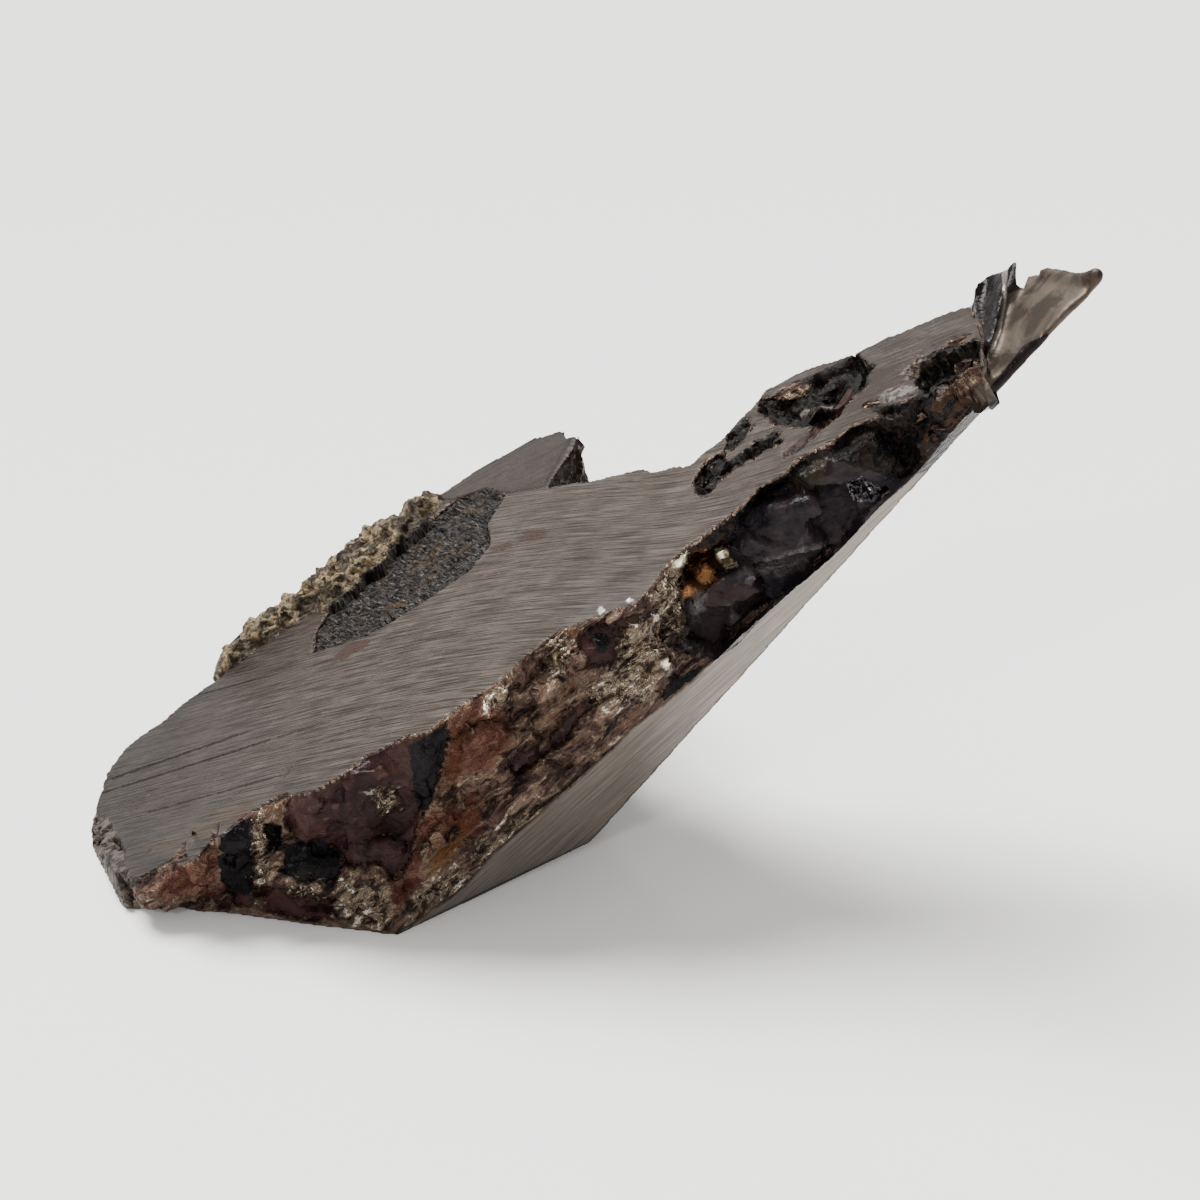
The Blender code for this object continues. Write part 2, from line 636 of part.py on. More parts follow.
def build_metal(pockets):
    """The nickel-iron body, with everything that is cut out of it and joined to it."""
    front_point, front_up = plane_of(FRONT_POINTS)
    torn = (
        to_object("scoop", sheet(SCOOP_ROWS, SCOOP_THICKNESS)),
        to_object("curl", worm(CURL_PATH)),
        to_object("spike", worm(SPIKE_PATH)),
    )
    cutters = [
        block("front_cut", front_point, -front_up),
        to_object("back_cut", back_block()),
        block("base_cut", Vector((0, 0, 0)), Vector((0, 0, -1))),
        block("corner_cut", *plane_of(CORNER_POINTS)),
        block("tip_cut", *plane_of(TIP_POINTS), TIP_START),
    ]
    hollows = list(pockets)
    for number, pit in enumerate(PITS, 1):
        hollows.append(to_object(f"pit_{number}", crystal(pit)))
    for number, shape in enumerate(GROOVES, 1):
        hollows.append(to_object(f"groove_{number}", groove(*shape)))

    metal = to_object("metal_slice", walls(), material("nickel iron", METAL_COLOUR, 0.9, 0.45))
    # The exact solver leaves open edges in this body, so it takes the manifold one.
    for cutter in cutters:
        boolean(metal, cutter, solver="MANIFOLD")
    for piece in torn:
        boolean(metal, piece, "UNION", "MANIFOLD")
    for hollow in hollows:
        boolean(metal, hollow, solver="MANIFOLD")
    drop_crumbs(metal)


def drop_crumbs(obj):
    """Applies the modifiers and keeps the largest body, without crumbs that the pockets cut loose."""
    graph = bpy.context.evaluated_depsgraph_get()
    mesh = bpy.data.meshes.new_from_object(obj.evaluated_get(graph))
    bm = bmesh.new()
    bm.from_mesh(mesh)
    bodies = []
    left = set(bm.verts)
    while left:
        waiting = [left.pop()]
        body = set(waiting)
        while waiting:
            vert = waiting.pop()
            for edge in vert.link_edges:
                other = edge.other_vert(vert)
                if other not in body:
                    body.add(other)
                    waiting.append(other)
        left -= body
        bodies.append(body)
    bodies.sort(key=len)
    for body in bodies[:-1]:
        bmesh.ops.delete(bm, geom=list(body), context="VERTS")
    bm.to_mesh(mesh)
    bm.free()
    obj.modifiers.clear()
    obj.data = mesh


def sawn_flush(obj):
    """Trims a crystal just under the sawn top."""
    low = [on_top(x, y, FLUSH) for x, y in ((0, 0), (10, 0), (0, 10))]
    boolean(obj, block(f"{obj.name}_trim", *plane_of(low)))


def rim_grain(number, place):
    x, y, half, below = place
    centre = (x, y, top_z(x, y) - below)
    return Grain(centre, (half, half, half), 0, 0, RIM_SEED + number, RIM_FACETS, UP, half)


def build():
    for obj in list(bpy.data.objects):
        bpy.data.objects.remove(obj, do_unlink=True)
    noise.seed_set(NOISE_SEED)

    black = material("black olivine", BLACK_COLOUR, 0.0, 0.1)
    purple = material("purple olivine", PURPLE_COLOUR, 0.0, 0.15)
    brown = material("brown olivine", BROWN_COLOUR, 0.0, 0.2)
    red = material("red olivine", RED_COLOUR, 0.0, 0.5)
    green = material("green olivine", GREEN_COLOUR, 0.0, 0.25)
    yellow = material("yellow olivine", YELLOW_COLOUR, 0.0, 0.6)
    grit = material("gritty olivine", GRIT_COLOUR, 0.0, 0.8)

    # Name, grains, material, metal left over it and under it, and whether it is sawn flush.
    rim = tuple(rim_grain(number, place) for number, place in enumerate(RIM_GRAINS))
    groups = [
        ("olivine_red_brown", (RED_GRAIN,), red, None, None, True),
        ("olivine_black", (BLACK_GRAIN,), black, None, None, True),
        ("olivine_black_small", (SMALL_BLACK_GRAIN,), black, None, None, False),
        ("olivine_purple", (PURPLE_GRAIN,), purple, None, None, True),
        ("olivine_rubble", RUBBLE_GRAINS, brown, TOP_SKIN, FRONT_SKIN, False),
        ("olivine_glassy", GLASSY_GRAINS, black, TOP_SKIN, FRONT_SKIN, False),
        ("olivine_tip_dark", (TIP_DARK_GRAIN,), black, None, None, False),
        ("olivine_tip_brown", (TIP_BROWN_GRAIN,), brown, None, TIP_SKIN, False),
        ("olivine_rim", rim, yellow, None, None, False),
    ]
    for name, grain in BACK_GRAINS.items():
        groups.append((name, (grain,), green, TOP_SKIN, None, False))

    pockets = []
    for name, grains, made, top_skin, front_skin, flush in groups:
        limits = limits_of(top_skin, front_skin)
        obj = grown_together(name, grains, made, limits)
        if flush:
            sawn_flush(obj)
        for number, grain in enumerate(grains, 1):
            pockets.append(to_object(f"{name}_pocket_{number}", crystal(grain, GAP, limits)))
    for number, hollow in enumerate(GLASSY_HOLLOWS, 1):
        limits = limits_of(TOP_SKIN - GAP, FRONT_SKIN - GAP)
        pockets.append(to_object(f"glassy_hollow_{number}", crystal(hollow, 0.0, limits)))

    gritty = to_object("olivine_gritty", patch(0.0, -FLUSH, PATCH_DEPTH), grit)
    for number, grain in enumerate(rim, 1):
        boolean(gritty, to_object(f"rim_clearance_{number}", crystal(grain, GAP)))
    pockets.append(to_object("gritty_pocket", patch(GAP, 0.5, PATCH_DEPTH)))
    build_metal(pockets)


build()
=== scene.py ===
"""Looks of the pallasite slice: one broken and sawn body, and the crystals in its walls.

Lengths are in millimetres from PLAN_CENTRE, the middle that the photograph's places were measured
from, until finish_piece() puts a piece back on the part's own origin in metres. X right, Y away,
Z up. Outlines of features are given as the camera sees them, in pixels of its 1200-pixel frame.
"""

import math

import bmesh
import bpy
import numpy as np
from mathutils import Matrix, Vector, noise
from mathutils.bvhtree import BVHTree


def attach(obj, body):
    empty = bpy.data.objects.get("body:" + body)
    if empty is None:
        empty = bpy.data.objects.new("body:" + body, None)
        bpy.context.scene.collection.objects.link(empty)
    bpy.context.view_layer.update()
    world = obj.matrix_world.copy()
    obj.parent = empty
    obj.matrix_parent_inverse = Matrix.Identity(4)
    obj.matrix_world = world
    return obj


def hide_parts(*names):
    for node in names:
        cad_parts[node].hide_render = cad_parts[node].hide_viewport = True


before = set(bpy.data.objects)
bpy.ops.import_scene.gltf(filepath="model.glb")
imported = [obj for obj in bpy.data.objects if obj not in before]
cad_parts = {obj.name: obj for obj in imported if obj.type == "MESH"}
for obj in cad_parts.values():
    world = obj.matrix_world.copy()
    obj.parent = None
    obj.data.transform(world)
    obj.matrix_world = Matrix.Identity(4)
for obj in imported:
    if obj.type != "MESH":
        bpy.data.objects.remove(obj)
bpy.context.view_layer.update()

noise.seed_set(3)  # the tilts of the chips draw on it

MM = 0.001
PLAN_CENTRE = np.array((-1.05, 1.25, 0.0))

# The camera.
ELEVATION = math.radians(25.0)
DISTANCE = 110.0
TARGET = np.array((0.0, 0.0, 8.0))
LENS = 97.06
SENSOR = 36.0
FRAME_PX = 1200
PX = 0.034              # one pixel at the target

# The flat faces: a point and the outward normal of each.
TOP_POINT = np.array((-12.34, -7.65, 3.33))
TOP_NORMAL = np.array((-0.5275, 0.0, 0.8495))
FRONT_POINTS = ((-6.74, -8.82, 0.0), (-0.34, -2.51, 0.0), (8.33, -4.80, 12.78))

FINE = 0.108            # voxel of the body
BODY_TRIANGLES = 195000
SNAP = 0.09             # what lies this near a sawn plane is put on it
GROW = 0.36             # how far the crystals grow into the gap round them
OUTER_GROW = {"olivine_red_brown": 0.13, "olivine_tip_brown": 0.10}     # less where it would show outside
RED_FOOT = 0.42         # how high the foot of the reddish crystal stands
OWN = 0.42              # what lies this near a crystal is its own skin
SHELL = 0.35            # thickness of a crystal's piece
SINK = 0.12             # how far the body dives under it


def plane_through(points):
    first, second, third = (np.array(p) for p in points)
    normal = np.cross(second - first, third - first)
    normal /= np.linalg.norm(normal)
    return first, normal if normal[2] < 0 else -normal


FRONT_POINT, FRONT_NORMAL = plane_through(FRONT_POINTS)


def under_top(points):
    """Depth under the sawn top."""
    return (TOP_POINT - points) @ TOP_NORMAL


def behind_front(points):
    """Depth behind the sawn front strip."""
    return (FRONT_POINT - points) @ FRONT_NORMAL


def sight():
    """The camera's place and its forward, right and up directions."""
    forward = np.array((0.0, math.cos(ELEVATION), -math.sin(ELEVATION)))
    up = np.array((0.0, math.sin(ELEVATION), math.cos(ELEVATION)))
    return TARGET - forward * DISTANCE, forward, np.array((1.0, 0.0, 0.0)), up


def seen(points):
    """Where points show in the frame, in pixels."""
    eye, forward, right, up = sight()
    away = points - eye
    focal = LENS / SENSOR * FRAME_PX / (away @ forward)
    return np.stack((FRAME_PX / 2 + focal * (away @ right), FRAME_PX / 2 - focal * (away @ up)), 1)


def inside_by(places, outline):
    """How far places lie inside an outline, in millimetres; below zero outside it."""
    corners = np.array(outline, float)
    following = np.roll(corners, -1, axis=0)
    nearest = np.full(len(places), 1e9)
    within = np.zeros(len(places), bool)
    for (ax, ay), (bx, by) in zip(corners, following):
        edge = np.array((bx - ax, by - ay))
        offset = places - (ax, ay)
        share = np.clip(offset @ edge / (edge @ edge), 0, 1)
        gap = offset - share[:, None] * edge
        nearest = np.minimum(nearest, np.hypot(gap[:, 0], gap[:, 1]))
        crosses = (ay > places[:, 1]) != (by > places[:, 1])
        rise = by - ay if by != ay else 1e-9
        within ^= crosses & (places[:, 0] < ax + (places[:, 1] - ay) * (bx - ax) / rise)
    return np.where(within, nearest, -nearest) * PX


def sight_line(pixel):
    """The eye, and the way from it through a pixel."""
    eye, forward, right, up = sight()
    focal = LENS / SENSOR * FRAME_PX
    across, above = (pixel[0] - FRAME_PX / 2) / focal, (FRAME_PX / 2 - pixel[1]) / focal
    return eye, forward + across * right + above * up


def on_top(pixel):
    """Where the sight line through a pixel meets the sawn top."""
    eye, line = sight_line(pixel)
    return eye + line * (((TOP_POINT - eye) @ TOP_NORMAL) / (line @ TOP_NORMAL))


# Features as the camera sees them. Each kind is a list of outlines.
FRONT_FEATURES = {
    "purple": (
        ((287, 800), (318, 772), (355, 752), (399, 735), (444, 722), (449, 738), (437, 777), (424, 800),
         (417, 830), (408, 868), (392, 880), (378, 862), (352, 868), (330, 845), (300, 842), (285, 825)),
        ((578, 640), (596, 626), (620, 628), (630, 645), (616, 664), (590, 666)),
        ((505, 762), (545, 740), (590, 690), (598, 698), (562, 742), (518, 776)),
        ((232, 884), (300, 886), (345, 900), (380, 925), (300, 918), (236, 905)),
    ),
    "black": (
        ((221, 822), (252, 812), (256, 850), (252, 895), (222, 893), (219, 860)),
        ((263, 822), (282, 826), (281, 850), (264, 852)),
        ((285, 846), (318, 838), (342, 852), (338, 880), (300, 886), (283, 872)),
        ((592, 634), (604, 630), (612, 642), (604, 654), (594, 650)),
        ((660, 690), (700, 665), (710, 672), (672, 712)),
        ((410, 745), (444, 726), (448, 740), (434, 790), (424, 820), (412, 790)),
    ),
    "red": (
        ((152, 892), (168, 870), (198, 858), (216, 848), (219, 896), (165, 900)),
        ((300, 852), (322, 790), (350, 772), (378, 790), (372, 850), (330, 862)),
        ((395, 820), (440, 810), (475, 790), (480, 830), (420, 850)),
        ((448, 705), (500, 690), (512, 740), (490, 772), (446, 770)),
        ((385, 900), (400, 860), (420, 850), (424, 880), (400, 910)),
    ),
    "pale": (
        ((250, 812), (262, 806), (268, 850), (262, 905), (252, 908), (256, 860)),
        ((340, 880), (384, 880), (392, 904), (384, 930), (345, 926), (330, 905)),
        ((292, 880), (322, 880), (322, 898), (292, 898)),
        ((372, 792), (396, 788), (400, 808), (380, 814)),
        ((540, 622), (566, 612), (572, 668), (548, 680)),
        ((480, 682), (502, 678), (506, 708), (486, 710)),
        ((652, 562), (678, 556), (684, 636), (656, 642)),
        ((584, 680), (640, 652), (650, 700), (610, 712), (586, 705)),
        ((618, 636), (655, 612), (668, 640), (655, 680), (622, 692)),
        ((470, 850), (540, 800), (600, 760), (640, 725), (650, 740), (560, 815), (490, 870)),
        ((400, 905), (460, 862), (470, 880), (410, 930)),
    ),
    "orange": (
        ((510, 766), (545, 733), (576, 712), (560, 742), (528, 772)),
        ((600, 690), (640, 650), (650, 655), (612, 700)),
        ((425, 868), (440, 835), (470, 812), (480, 818), (460, 850), (435, 880)),
        ((444, 790), (454, 728), (464, 722), (460, 780)),
        ((540, 640), (572, 622), (576, 634), (550, 655)),
    ),
    "amber": (
        ((682, 594), (686, 566), (692, 546), (700, 538), (724, 546), (718, 580), (700, 598)),
    ),
    # Painted highlights: bright white-gold glints of light on the wall, laid on as bright metal patches.
    "gold_glint": (
        ((671, 562), (672, 547), (680, 541), (687, 546), (687, 562), (680, 571), (673, 568)),
        ((714, 551), (722, 547), (729, 552), (731, 561), (737, 564), (727, 568), (719, 559)),
        ((662, 663), (667, 659), (671, 665), (665, 669)),
        ((553, 654), (557, 652), (559, 664), (555, 666)),
    ),
    # Painted highlights: small orange glints of light in the amber.
    "orange_glint": (
        ((699, 578), (701, 570), (708, 569), (712, 576), (706, 583)),
        ((684, 593), (690, 587), (695, 592), (689, 598)),
    ),
    "glassy": (
        ((668, 630), (672, 602), (684, 580), (690, 540), (720, 500), (755, 470), (785, 450), (820, 435),
         (860, 420), (905, 430), (930, 455), (920, 472), (880, 507), (840, 550), (800, 584), (760, 620),
         (737, 646), (714, 660)),
    ),
    "facet": (
        ((668, 632), (697, 588), (744, 582), (772, 602), (741, 640), (715, 660)),
    ),
    # Painted highlights: a soft sheen along the crest and thin bright lines on the facet edges.
    "shine": (
        ((690, 603), (697, 590), (706, 592), (704, 612), (694, 622)),
        ((668, 632), (674, 636), (716, 658), (712, 662), (672, 642)),
        ((742, 574), (765, 562), (795, 550), (832, 546), (806, 562), (775, 574), (750, 582)),
        ((728, 606), (732, 604), (734, 626), (730, 628)),
    ),
    # Real scratches on a facet, painted bright as highlights.
    "scratch_glints": (
        ((846, 486), (860, 478), (880, 490), (874, 502), (856, 500)),
        ((736, 508), (740, 502), (746, 504), (741, 511)),
    ),
    # Dark places; the last outline is painted shade in the slit under the lip.
    "dark": (
        ((825, 452), (845, 425), (905, 398), (940, 380), (985, 350), (985, 430), (960, 452), (930, 470),
         (900, 480), (870, 470), (840, 462)),
        ((690, 548), (740, 500), (800, 455), (812, 462), (760, 505), (712, 548)),
        ((606, 627), (630, 618), (650, 610), (657, 602), (662, 608), (648, 620), (628, 628)),
    ),
    "olive": (
        ((790, 470), (795, 455), (812, 450), (828, 458), (830, 476), (815, 488), (797, 484)),
    ),
    "end": (
        ((70, 800), (96, 806), (106, 838), (120, 868), (126, 886), (134, 912), (130, 930), (80, 915),
         (65, 860)),
    ),
}
# Features of the sawn top.
TOP_FEATURES = {
    "hollow": (
        ((757, 398), (790, 400), (812, 388), (800, 380), (830, 366), (858, 354), (874, 366), (868, 386),
         (850, 402), (838, 416), (815, 428), (780, 426), (758, 414)),
        ((862, 404), (880, 404), (906, 402), (918, 392), (914, 380), (904, 368), (920, 357), (942, 348),
         (982, 340), (980, 388), (936, 390), (930, 445), (905, 445), (898, 424), (878, 414)),
        ((692, 494), (700, 470), (718, 452), (728, 460), (750, 446), (776, 430), (782, 442), (752, 460),
         (726, 476), (706, 498)),
        ((722, 452), (728, 432), (746, 416), (752, 428), (738, 448)),
    ),
    # Cracks, painted dark as shade: one in the top and the slit under the lip.
    "crack": (
        ((848, 386), (854, 390), (842, 410), (824, 428), (800, 448), (785, 458), (782, 453), (800, 440),
         (820, 422), (838, 404)),
        ((612, 623), (630, 617), (648, 612), (658, 600), (662, 606), (650, 618), (625, 628)),
    ),
    "side": (
        ((540, 494), (566, 434), (584, 436), (602, 456), (606, 494)),
    ),
    "stained": (
        ((838, 394), (862, 374), (905, 367), (915, 378), (895, 387), (880, 397), (905, 405), (900, 426),
         (872, 412), (845, 414)),
    ),
    "flake": (
        ((880, 401), (879, 396), (890, 388), (904, 386), (917, 388), (914, 394), (900, 398), (888, 403)),
    ),
    "ridge": (
        ((898, 372), (912, 362), (935, 357), (948, 361), (942, 369), (925, 375), (908, 379)),
        ((800, 412), (830, 406), (832, 410), (802, 416)),
    ),
    "pitted": (
        ((78, 806), (98, 808), (112, 824), (126, 848), (128, 866), (133, 888), (126, 912), (98, 904),
         (88, 876), (76, 858)),
    ),
    # Two painted highlights: small bright points on the lip.
    "point": (
        ((597, 611), (600, 607), (604, 610), (601, 614)),
        ((626, 601), (629, 598), (633, 600), (629, 603)),
    ),
    "spot": (
        ((335, 656), (345, 647), (366, 639), (371, 643), (358, 652), (341, 661)),
        ((520, 541), (526, 531), (545, 528), (546, 536), (534, 541)),
        ((490, 548), (510, 541), (512, 546), (493, 553)),
        ((228, 838), (240, 815), (245, 800), (247, 812), (236, 838)),
    ),
    "ochre": (
        ((637, 488), (645, 484), (656, 486), (652, 492), (640, 492)),
        ((715, 474), (728, 470), (730, 478), (718, 482)),
        ((150, 846), (215, 815), (256, 798), (258, 806), (222, 826), (168, 854)),
    ),
    "block": (
        ((436, 500), (446, 478), (500, 455), (545, 434), (570, 432), (570, 440), (544, 486), (500, 494)),
    ),
    "brown": (
        ((935, 388), (970, 383), (974, 402), (968, 428), (942, 440), (922, 444), (931, 420)),
    ),
    "made_flat": (
        ((84, 812), (200, 720), (440, 600), (500, 680), (458, 702), (448, 716), (430, 728), (395, 738),
         (372, 748), (345, 760), (310, 780), (290, 792), (262, 808), (224, 824), (216, 834), (184, 849),
         (154, 867), (138, 886), (124, 890), (112, 868), (94, 838)),
    ),
    # A painted sheen of light along the curled lip.
    "lip_sheen": (
        ((566, 630), (578, 618), (600, 606), (628, 594), (654, 580), (657, 586), (638, 599), (608, 613),
         (582, 627)),
    ),
}
# The torn tip, and what shows on it.
TIP_OUTLINE = ((966, 240), (962, 300), (981, 322), (984, 350), (975, 398), (982, 425), (1150, 440), (1150, 240))
TIP_FEATURES = {
    # The third scoop outline is the under side: partly dark olivine, partly painted shade.
    "scoop": (
        ((962, 300), (968, 280), (979, 262), (1003, 260), (1004, 300), (998, 330), (985, 365), (975, 384),
         (984, 348), (981, 322)),
        ((1005, 256), (1020, 254), (1020, 288), (1006, 296)),
        ((1052, 333), (1040, 337), (1024, 344), (1004, 370), (984, 395), (976, 408), (990, 400), (1014, 380),
         (1036, 354)),
    ),
    "lip": (
        ((1002, 266), (1007, 266), (1006, 300), (1000, 332), (988, 362), (985, 360), (997, 330), (1003, 300)),
    ),
}
# A slit in the top of the torn tip, and the distances from the eye between which it's cut.
NOTCH = ((1018, 245), (1031, 245), (1028, 276), (1023, 288), (1017, 284))
NOTCH_SPAN = (95.0, 109.0)
# Deep dark saw grooves in the top: where each starts and ends, and its width in millimetres.
GROOVES = (
    ((104, 782), (300, 714), 0.26),
    ((100, 794), (385, 704), 0.18),
    ((150, 812), (330, 762), 0.12),
    ((180, 700), (300, 668), 0.14),
)
# Large flat faces of the glassy crystals: outline, then a point of the face, and how it falls away
# to the right and upwards.
FACETS = (
    (((670, 636), (697, 590), (744, 583), (772, 603), (741, 640), (715, 660)), (3.9, -4.55, 10.0), 0.10, 0.20),
    (((744, 583), (752, 566), (790, 556), (835, 545), (828, 562), (775, 600)), (6.0, -4.2, 11.5), 0.0, 0.8),
    (((800, 502), (812, 488), (850, 485), (863, 520), (845, 548), (812, 538)), (6.6, -4.0, 12.9), -0.25, 0.25),
    (((846, 484), (862, 479), (880, 492), (872, 503), (856, 500)), (7.9, -4.3, 13.8), 0.2, 0.9),
)


# Meshes in and out of arrays.

def points_of(mesh):
    points = np.empty(len(mesh.vertices) * 3)
    mesh.vertices.foreach_get("co", points)
    return points.reshape(-1, 3)


def normals_of(mesh):
    normals = np.empty(len(mesh.vertices) * 3)
    mesh.vertices.foreach_get("normal", normals)
    return normals.reshape(-1, 3)


def put_points(mesh, points):
    mesh.vertices.foreach_set("co", np.asarray(points, np.float32).ravel())
    mesh.update()


def put_mask(mesh, name, values):
    attribute = mesh.attributes.new(name, "FLOAT", "POINT")
    attribute.data.foreach_set("value", np.asarray(values, np.float32))


def mask_of(mesh, name):
    values = np.empty(len(mesh.vertices))
    mesh.attributes[name].data.foreach_get("value", values)
    return values


def cad_bmesh(node):
    """A node's mesh in millimetres, with its doubled points joined."""
    bm = bmesh.new()
    bm.from_mesh(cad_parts[node].data)
    for vert in bm.verts:
        vert.co = Vector(np.array(vert.co) / MM + PLAN_CENTRE)
    bmesh.ops.remove_doubles(bm, verts=bm.verts, dist=0.0005)
    bmesh.ops.recalc_face_normals(bm, faces=bm.faces)
    bm.normal_update()
    return bm


def new_object(name, bm):
    mesh = bpy.data.meshes.new(name)
    bm.to_mesh(mesh)
    bm.free()
    obj = bpy.data.objects.new(name, mesh)
    bpy.context.scene.collection.objects.link(obj)
    return obj


def settle(obj):
    """Applies the modifiers."""
    graph = bpy.context.evaluated_depsgraph_get()
    mesh = bpy.data.meshes.new_from_object(obj.evaluated_get(graph))
    obj.modifiers.clear()
    obj.data = mesh
    return obj


def remesh(obj, voxel):
    modifier = obj.modifiers.new("remesh", "REMESH")
    modifier.mode = "VOXEL"
    modifier.voxel_size = voxel
    return settle(obj)


def decimate(obj, triangles, spare):
    """Thins the mesh where the points can be spared."""
    have = sum(len(face.vertices) - 2 for face in obj.data.polygons)
    if have > triangles:
        group = obj.vertex_groups.new(name="spare")
        group.add(np.nonzero(spare)[0].tolist(), 1.0, "REPLACE")
        modifier = obj.modifiers.new("decimate", "DECIMATE")
        modifier.ratio = triangles / have
        modifier.vertex_group = "spare"
        settle(obj)
        obj.vertex_groups.clear()
    return obj


def soften(obj, weights, repeat):
    """Smooths the surface where the weights are above zero."""
    group = obj.vertex_groups.new(name="soft")
    for index in np.nonzero(weights > 0)[0]:
        group.add([int(index)], float(weights[index]), "REPLACE")
    modifier = obj.modifiers.new("smooth", "SMOOTH")
    modifier.factor = 0.5
    modifier.iterations = repeat
    modifier.vertex_group = "soft"
    settle(obj)
    obj.vertex_groups.clear()
    return obj


# Relief.

def fbm(point, size, octaves=3):
    return noise.fractal(point / size, 0.9, 2.1, octaves)


def chips(point, size, depth, seed=0.0):
    """Height of a surface broken into flat tilted chips."""
    place = point / size + Vector((seed, 0.0, 0.0))
    centre = noise.voronoi(place)[1][0]
    tilt = noise.noise_vector(centre * 7.3)
    return depth * (tilt.dot(place - centre) + noise.noise(centre * 3.1))


def lumps(point, size):
    """Rounded grains with creases between them, from 0 in a crease to about 1."""
    near, next_near = noise.voronoi(point / size)[0][:2]
    return min((next_near - near) * 2.2, 1.0)


def step_in(value, low, high):
    share = np.clip((value - low) / (high - low), 0.0, 1.0)
    return share * share * (3 - 2 * share)


ALONG = Vector((0.75, 0.0, 0.66))       # the way the ridges of the front wall run


def ridged(point, size, stretch):
    """Ridges that run along the front wall."""
    place = point - ALONG * (point.dot(ALONG) * (1 - 1 / stretch))
    return 1 - 2 * abs(noise.noise(place / size))


def wall_relief(point):
    ridges = 0.15 * ridged(point, 0.42, 4.0) + 0.12 * ridged(point, 0.95, 3.0)
    return chips(point, 0.9, 0.20, 4.0) + ridges + 0.06 * fbm(point, 0.26)


def crystal_relief(point):
    return chips(point, 1.0, 0.22, 2.0) + 0.035 * fbm(point, 0.4)


def rim_relief(point):
    grains = 0.16 * (lumps(point, 0.55) - 0.5) + 0.08 * (lumps(point, 0.28) - 0.5)
    return 0.22 * fbm(point, 0.9, 2) + grains + 0.06 * fbm(point, 0.2)


def grit_relief(point):
    drag = Vector((point.x * 0.5, point.y, point.z * 0.5))
    return -0.16 + 0.20 * fbm(drag, 0.36) + 0.05 * fbm(point, 0.15)


END_SWELL = 0.22        # how far the pitted left end stands out


def end_relief(point):
    return 0.16 * fbm(point, 0.55) + 0.06 * fbm(point, 0.2)


# The body, whole, before the crystals' pieces are taken from it.

CRYSTALS = [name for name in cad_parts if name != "metal_slice"]


FLUSH_CRYSTALS = ("olivine_purple", "olivine_black", "olivine_red_brown", "olivine_gritty", "olivine_tip_dark")


def kept_in(points, flush):
    """Points moved back under the sawn faces and above the floor."""
    if flush:
        points = points + np.minimum(under_top(points) - 0.02, 0.0)[:, None] * TOP_NORMAL
    points = points + np.minimum(behind_front(points) - 0.03, 0.0)[:, None] * FRONT_NORMAL
    points[:, 2] = np.maximum(points[:, 2], 0.01)
    return points


def grown(node):
    """A crystal's mesh, grown into the gap round it."""
    mesh = bpy.data.meshes.new("work")
    bm = cad_bmesh(node)
    bm.to_mesh(mesh)
    bm.free()
    grow = OUTER_GROW.get(node, GROW)
    points = kept_in(points_of(mesh) + normals_of(mesh) * grow, node in FLUSH_CRYSTALS)
    if node == "olivine_red_brown":
        points[:, 2] = np.maximum(points[:, 2], RED_FOOT)
    put_points(mesh, points)
    return mesh


def whole_body():
    """Metal and crystals as one closed skin."""
    bm = cad_bmesh("metal_slice")
    for node in CRYSTALS:
        crystal = grown(node)
        bm.from_mesh(crystal)
        bpy.data.meshes.remove(crystal)
    return cut_notch(remesh(new_object("slice_metal", bm), FINE))


def cut_notch(obj):
    """Cuts the slit in the torn tip, along the sight lines through its outline."""
    bm = bmesh.new()
    rings = []
    for reach in NOTCH_SPAN:
        lines = (sight_line(pixel) for pixel in NOTCH)
        rings.append([bm.verts.new(eye + line * reach) for eye, line in lines])
    near, far = rings
    for index, corner in enumerate(near):
        bm.faces.new((near[index - 1], corner, far[index], far[index - 1]))
    bm.faces.new(near)
    bm.faces.new(far)
    bmesh.ops.recalc_face_normals(bm, faces=bm.faces)
    cutter = new_object("notch", bm)
    modifier = obj.modifiers.new("notch", "BOOLEAN")
    modifier.operation = "DIFFERENCE"
    modifier.solver = "MANIFOLD"
    modifier.object = cutter
    settle(obj)
    bpy.data.objects.remove(cutter)
    return obj


def nearness(points):
    """For each crystal, how near the points lie to it: 0 at the edge of what counts as its own."""
    found = {}
    for node in CRYSTALS:
        bm = cad_bmesh(node)
        tree = BVHTree.FromBMesh(bm)
        low = np.min([v.co for v in bm.verts], axis=0) - 1.0
        high = np.max([v.co for v in bm.verts], axis=0) + 1.0
        bm.free()
        values = np.full(len(points), -1.0)
        close = np.nonzero(((points > low) & (points < high)).all(axis=1))[0]
        for index in close:
            away = tree.find_nearest(Vector(points[index]))[3]
            values[index] = OWN - away
        found[node] = values
    return found


def flats(points, normals, tolerance):
    """Which points lie on the sawn top, on the sawn strip and on the base."""
    top = (np.abs(under_top(points)) < tolerance) & (normals @ TOP_NORMAL > 0.7)
    strip = (np.abs(behind_front(points)) < tolerance) & (normals @ FRONT_NORMAL > 0.7)
    base = (points[:, 2] < tolerance) & (normals[:, 2] < -0.7)
    return top, strip, base


def feature_fields(points, facing, above, torn):
    """Field of each feature: front ones only where the wall faces the camera, top ones on top."""
    places = seen(points)
    fields = {}
    for group, allowed in ((FRONT_FEATURES, facing), (TOP_FEATURES, above), (TIP_FEATURES, torn)):
        for name, outlines in group.items():
            inside = np.full(len(points), -1.0)
            inside[allowed] = np.max([inside_by(places[allowed], o) for o in outlines], axis=0)
            fields[name] = np.clip(inside, -1.0, 1.0)
    return fields


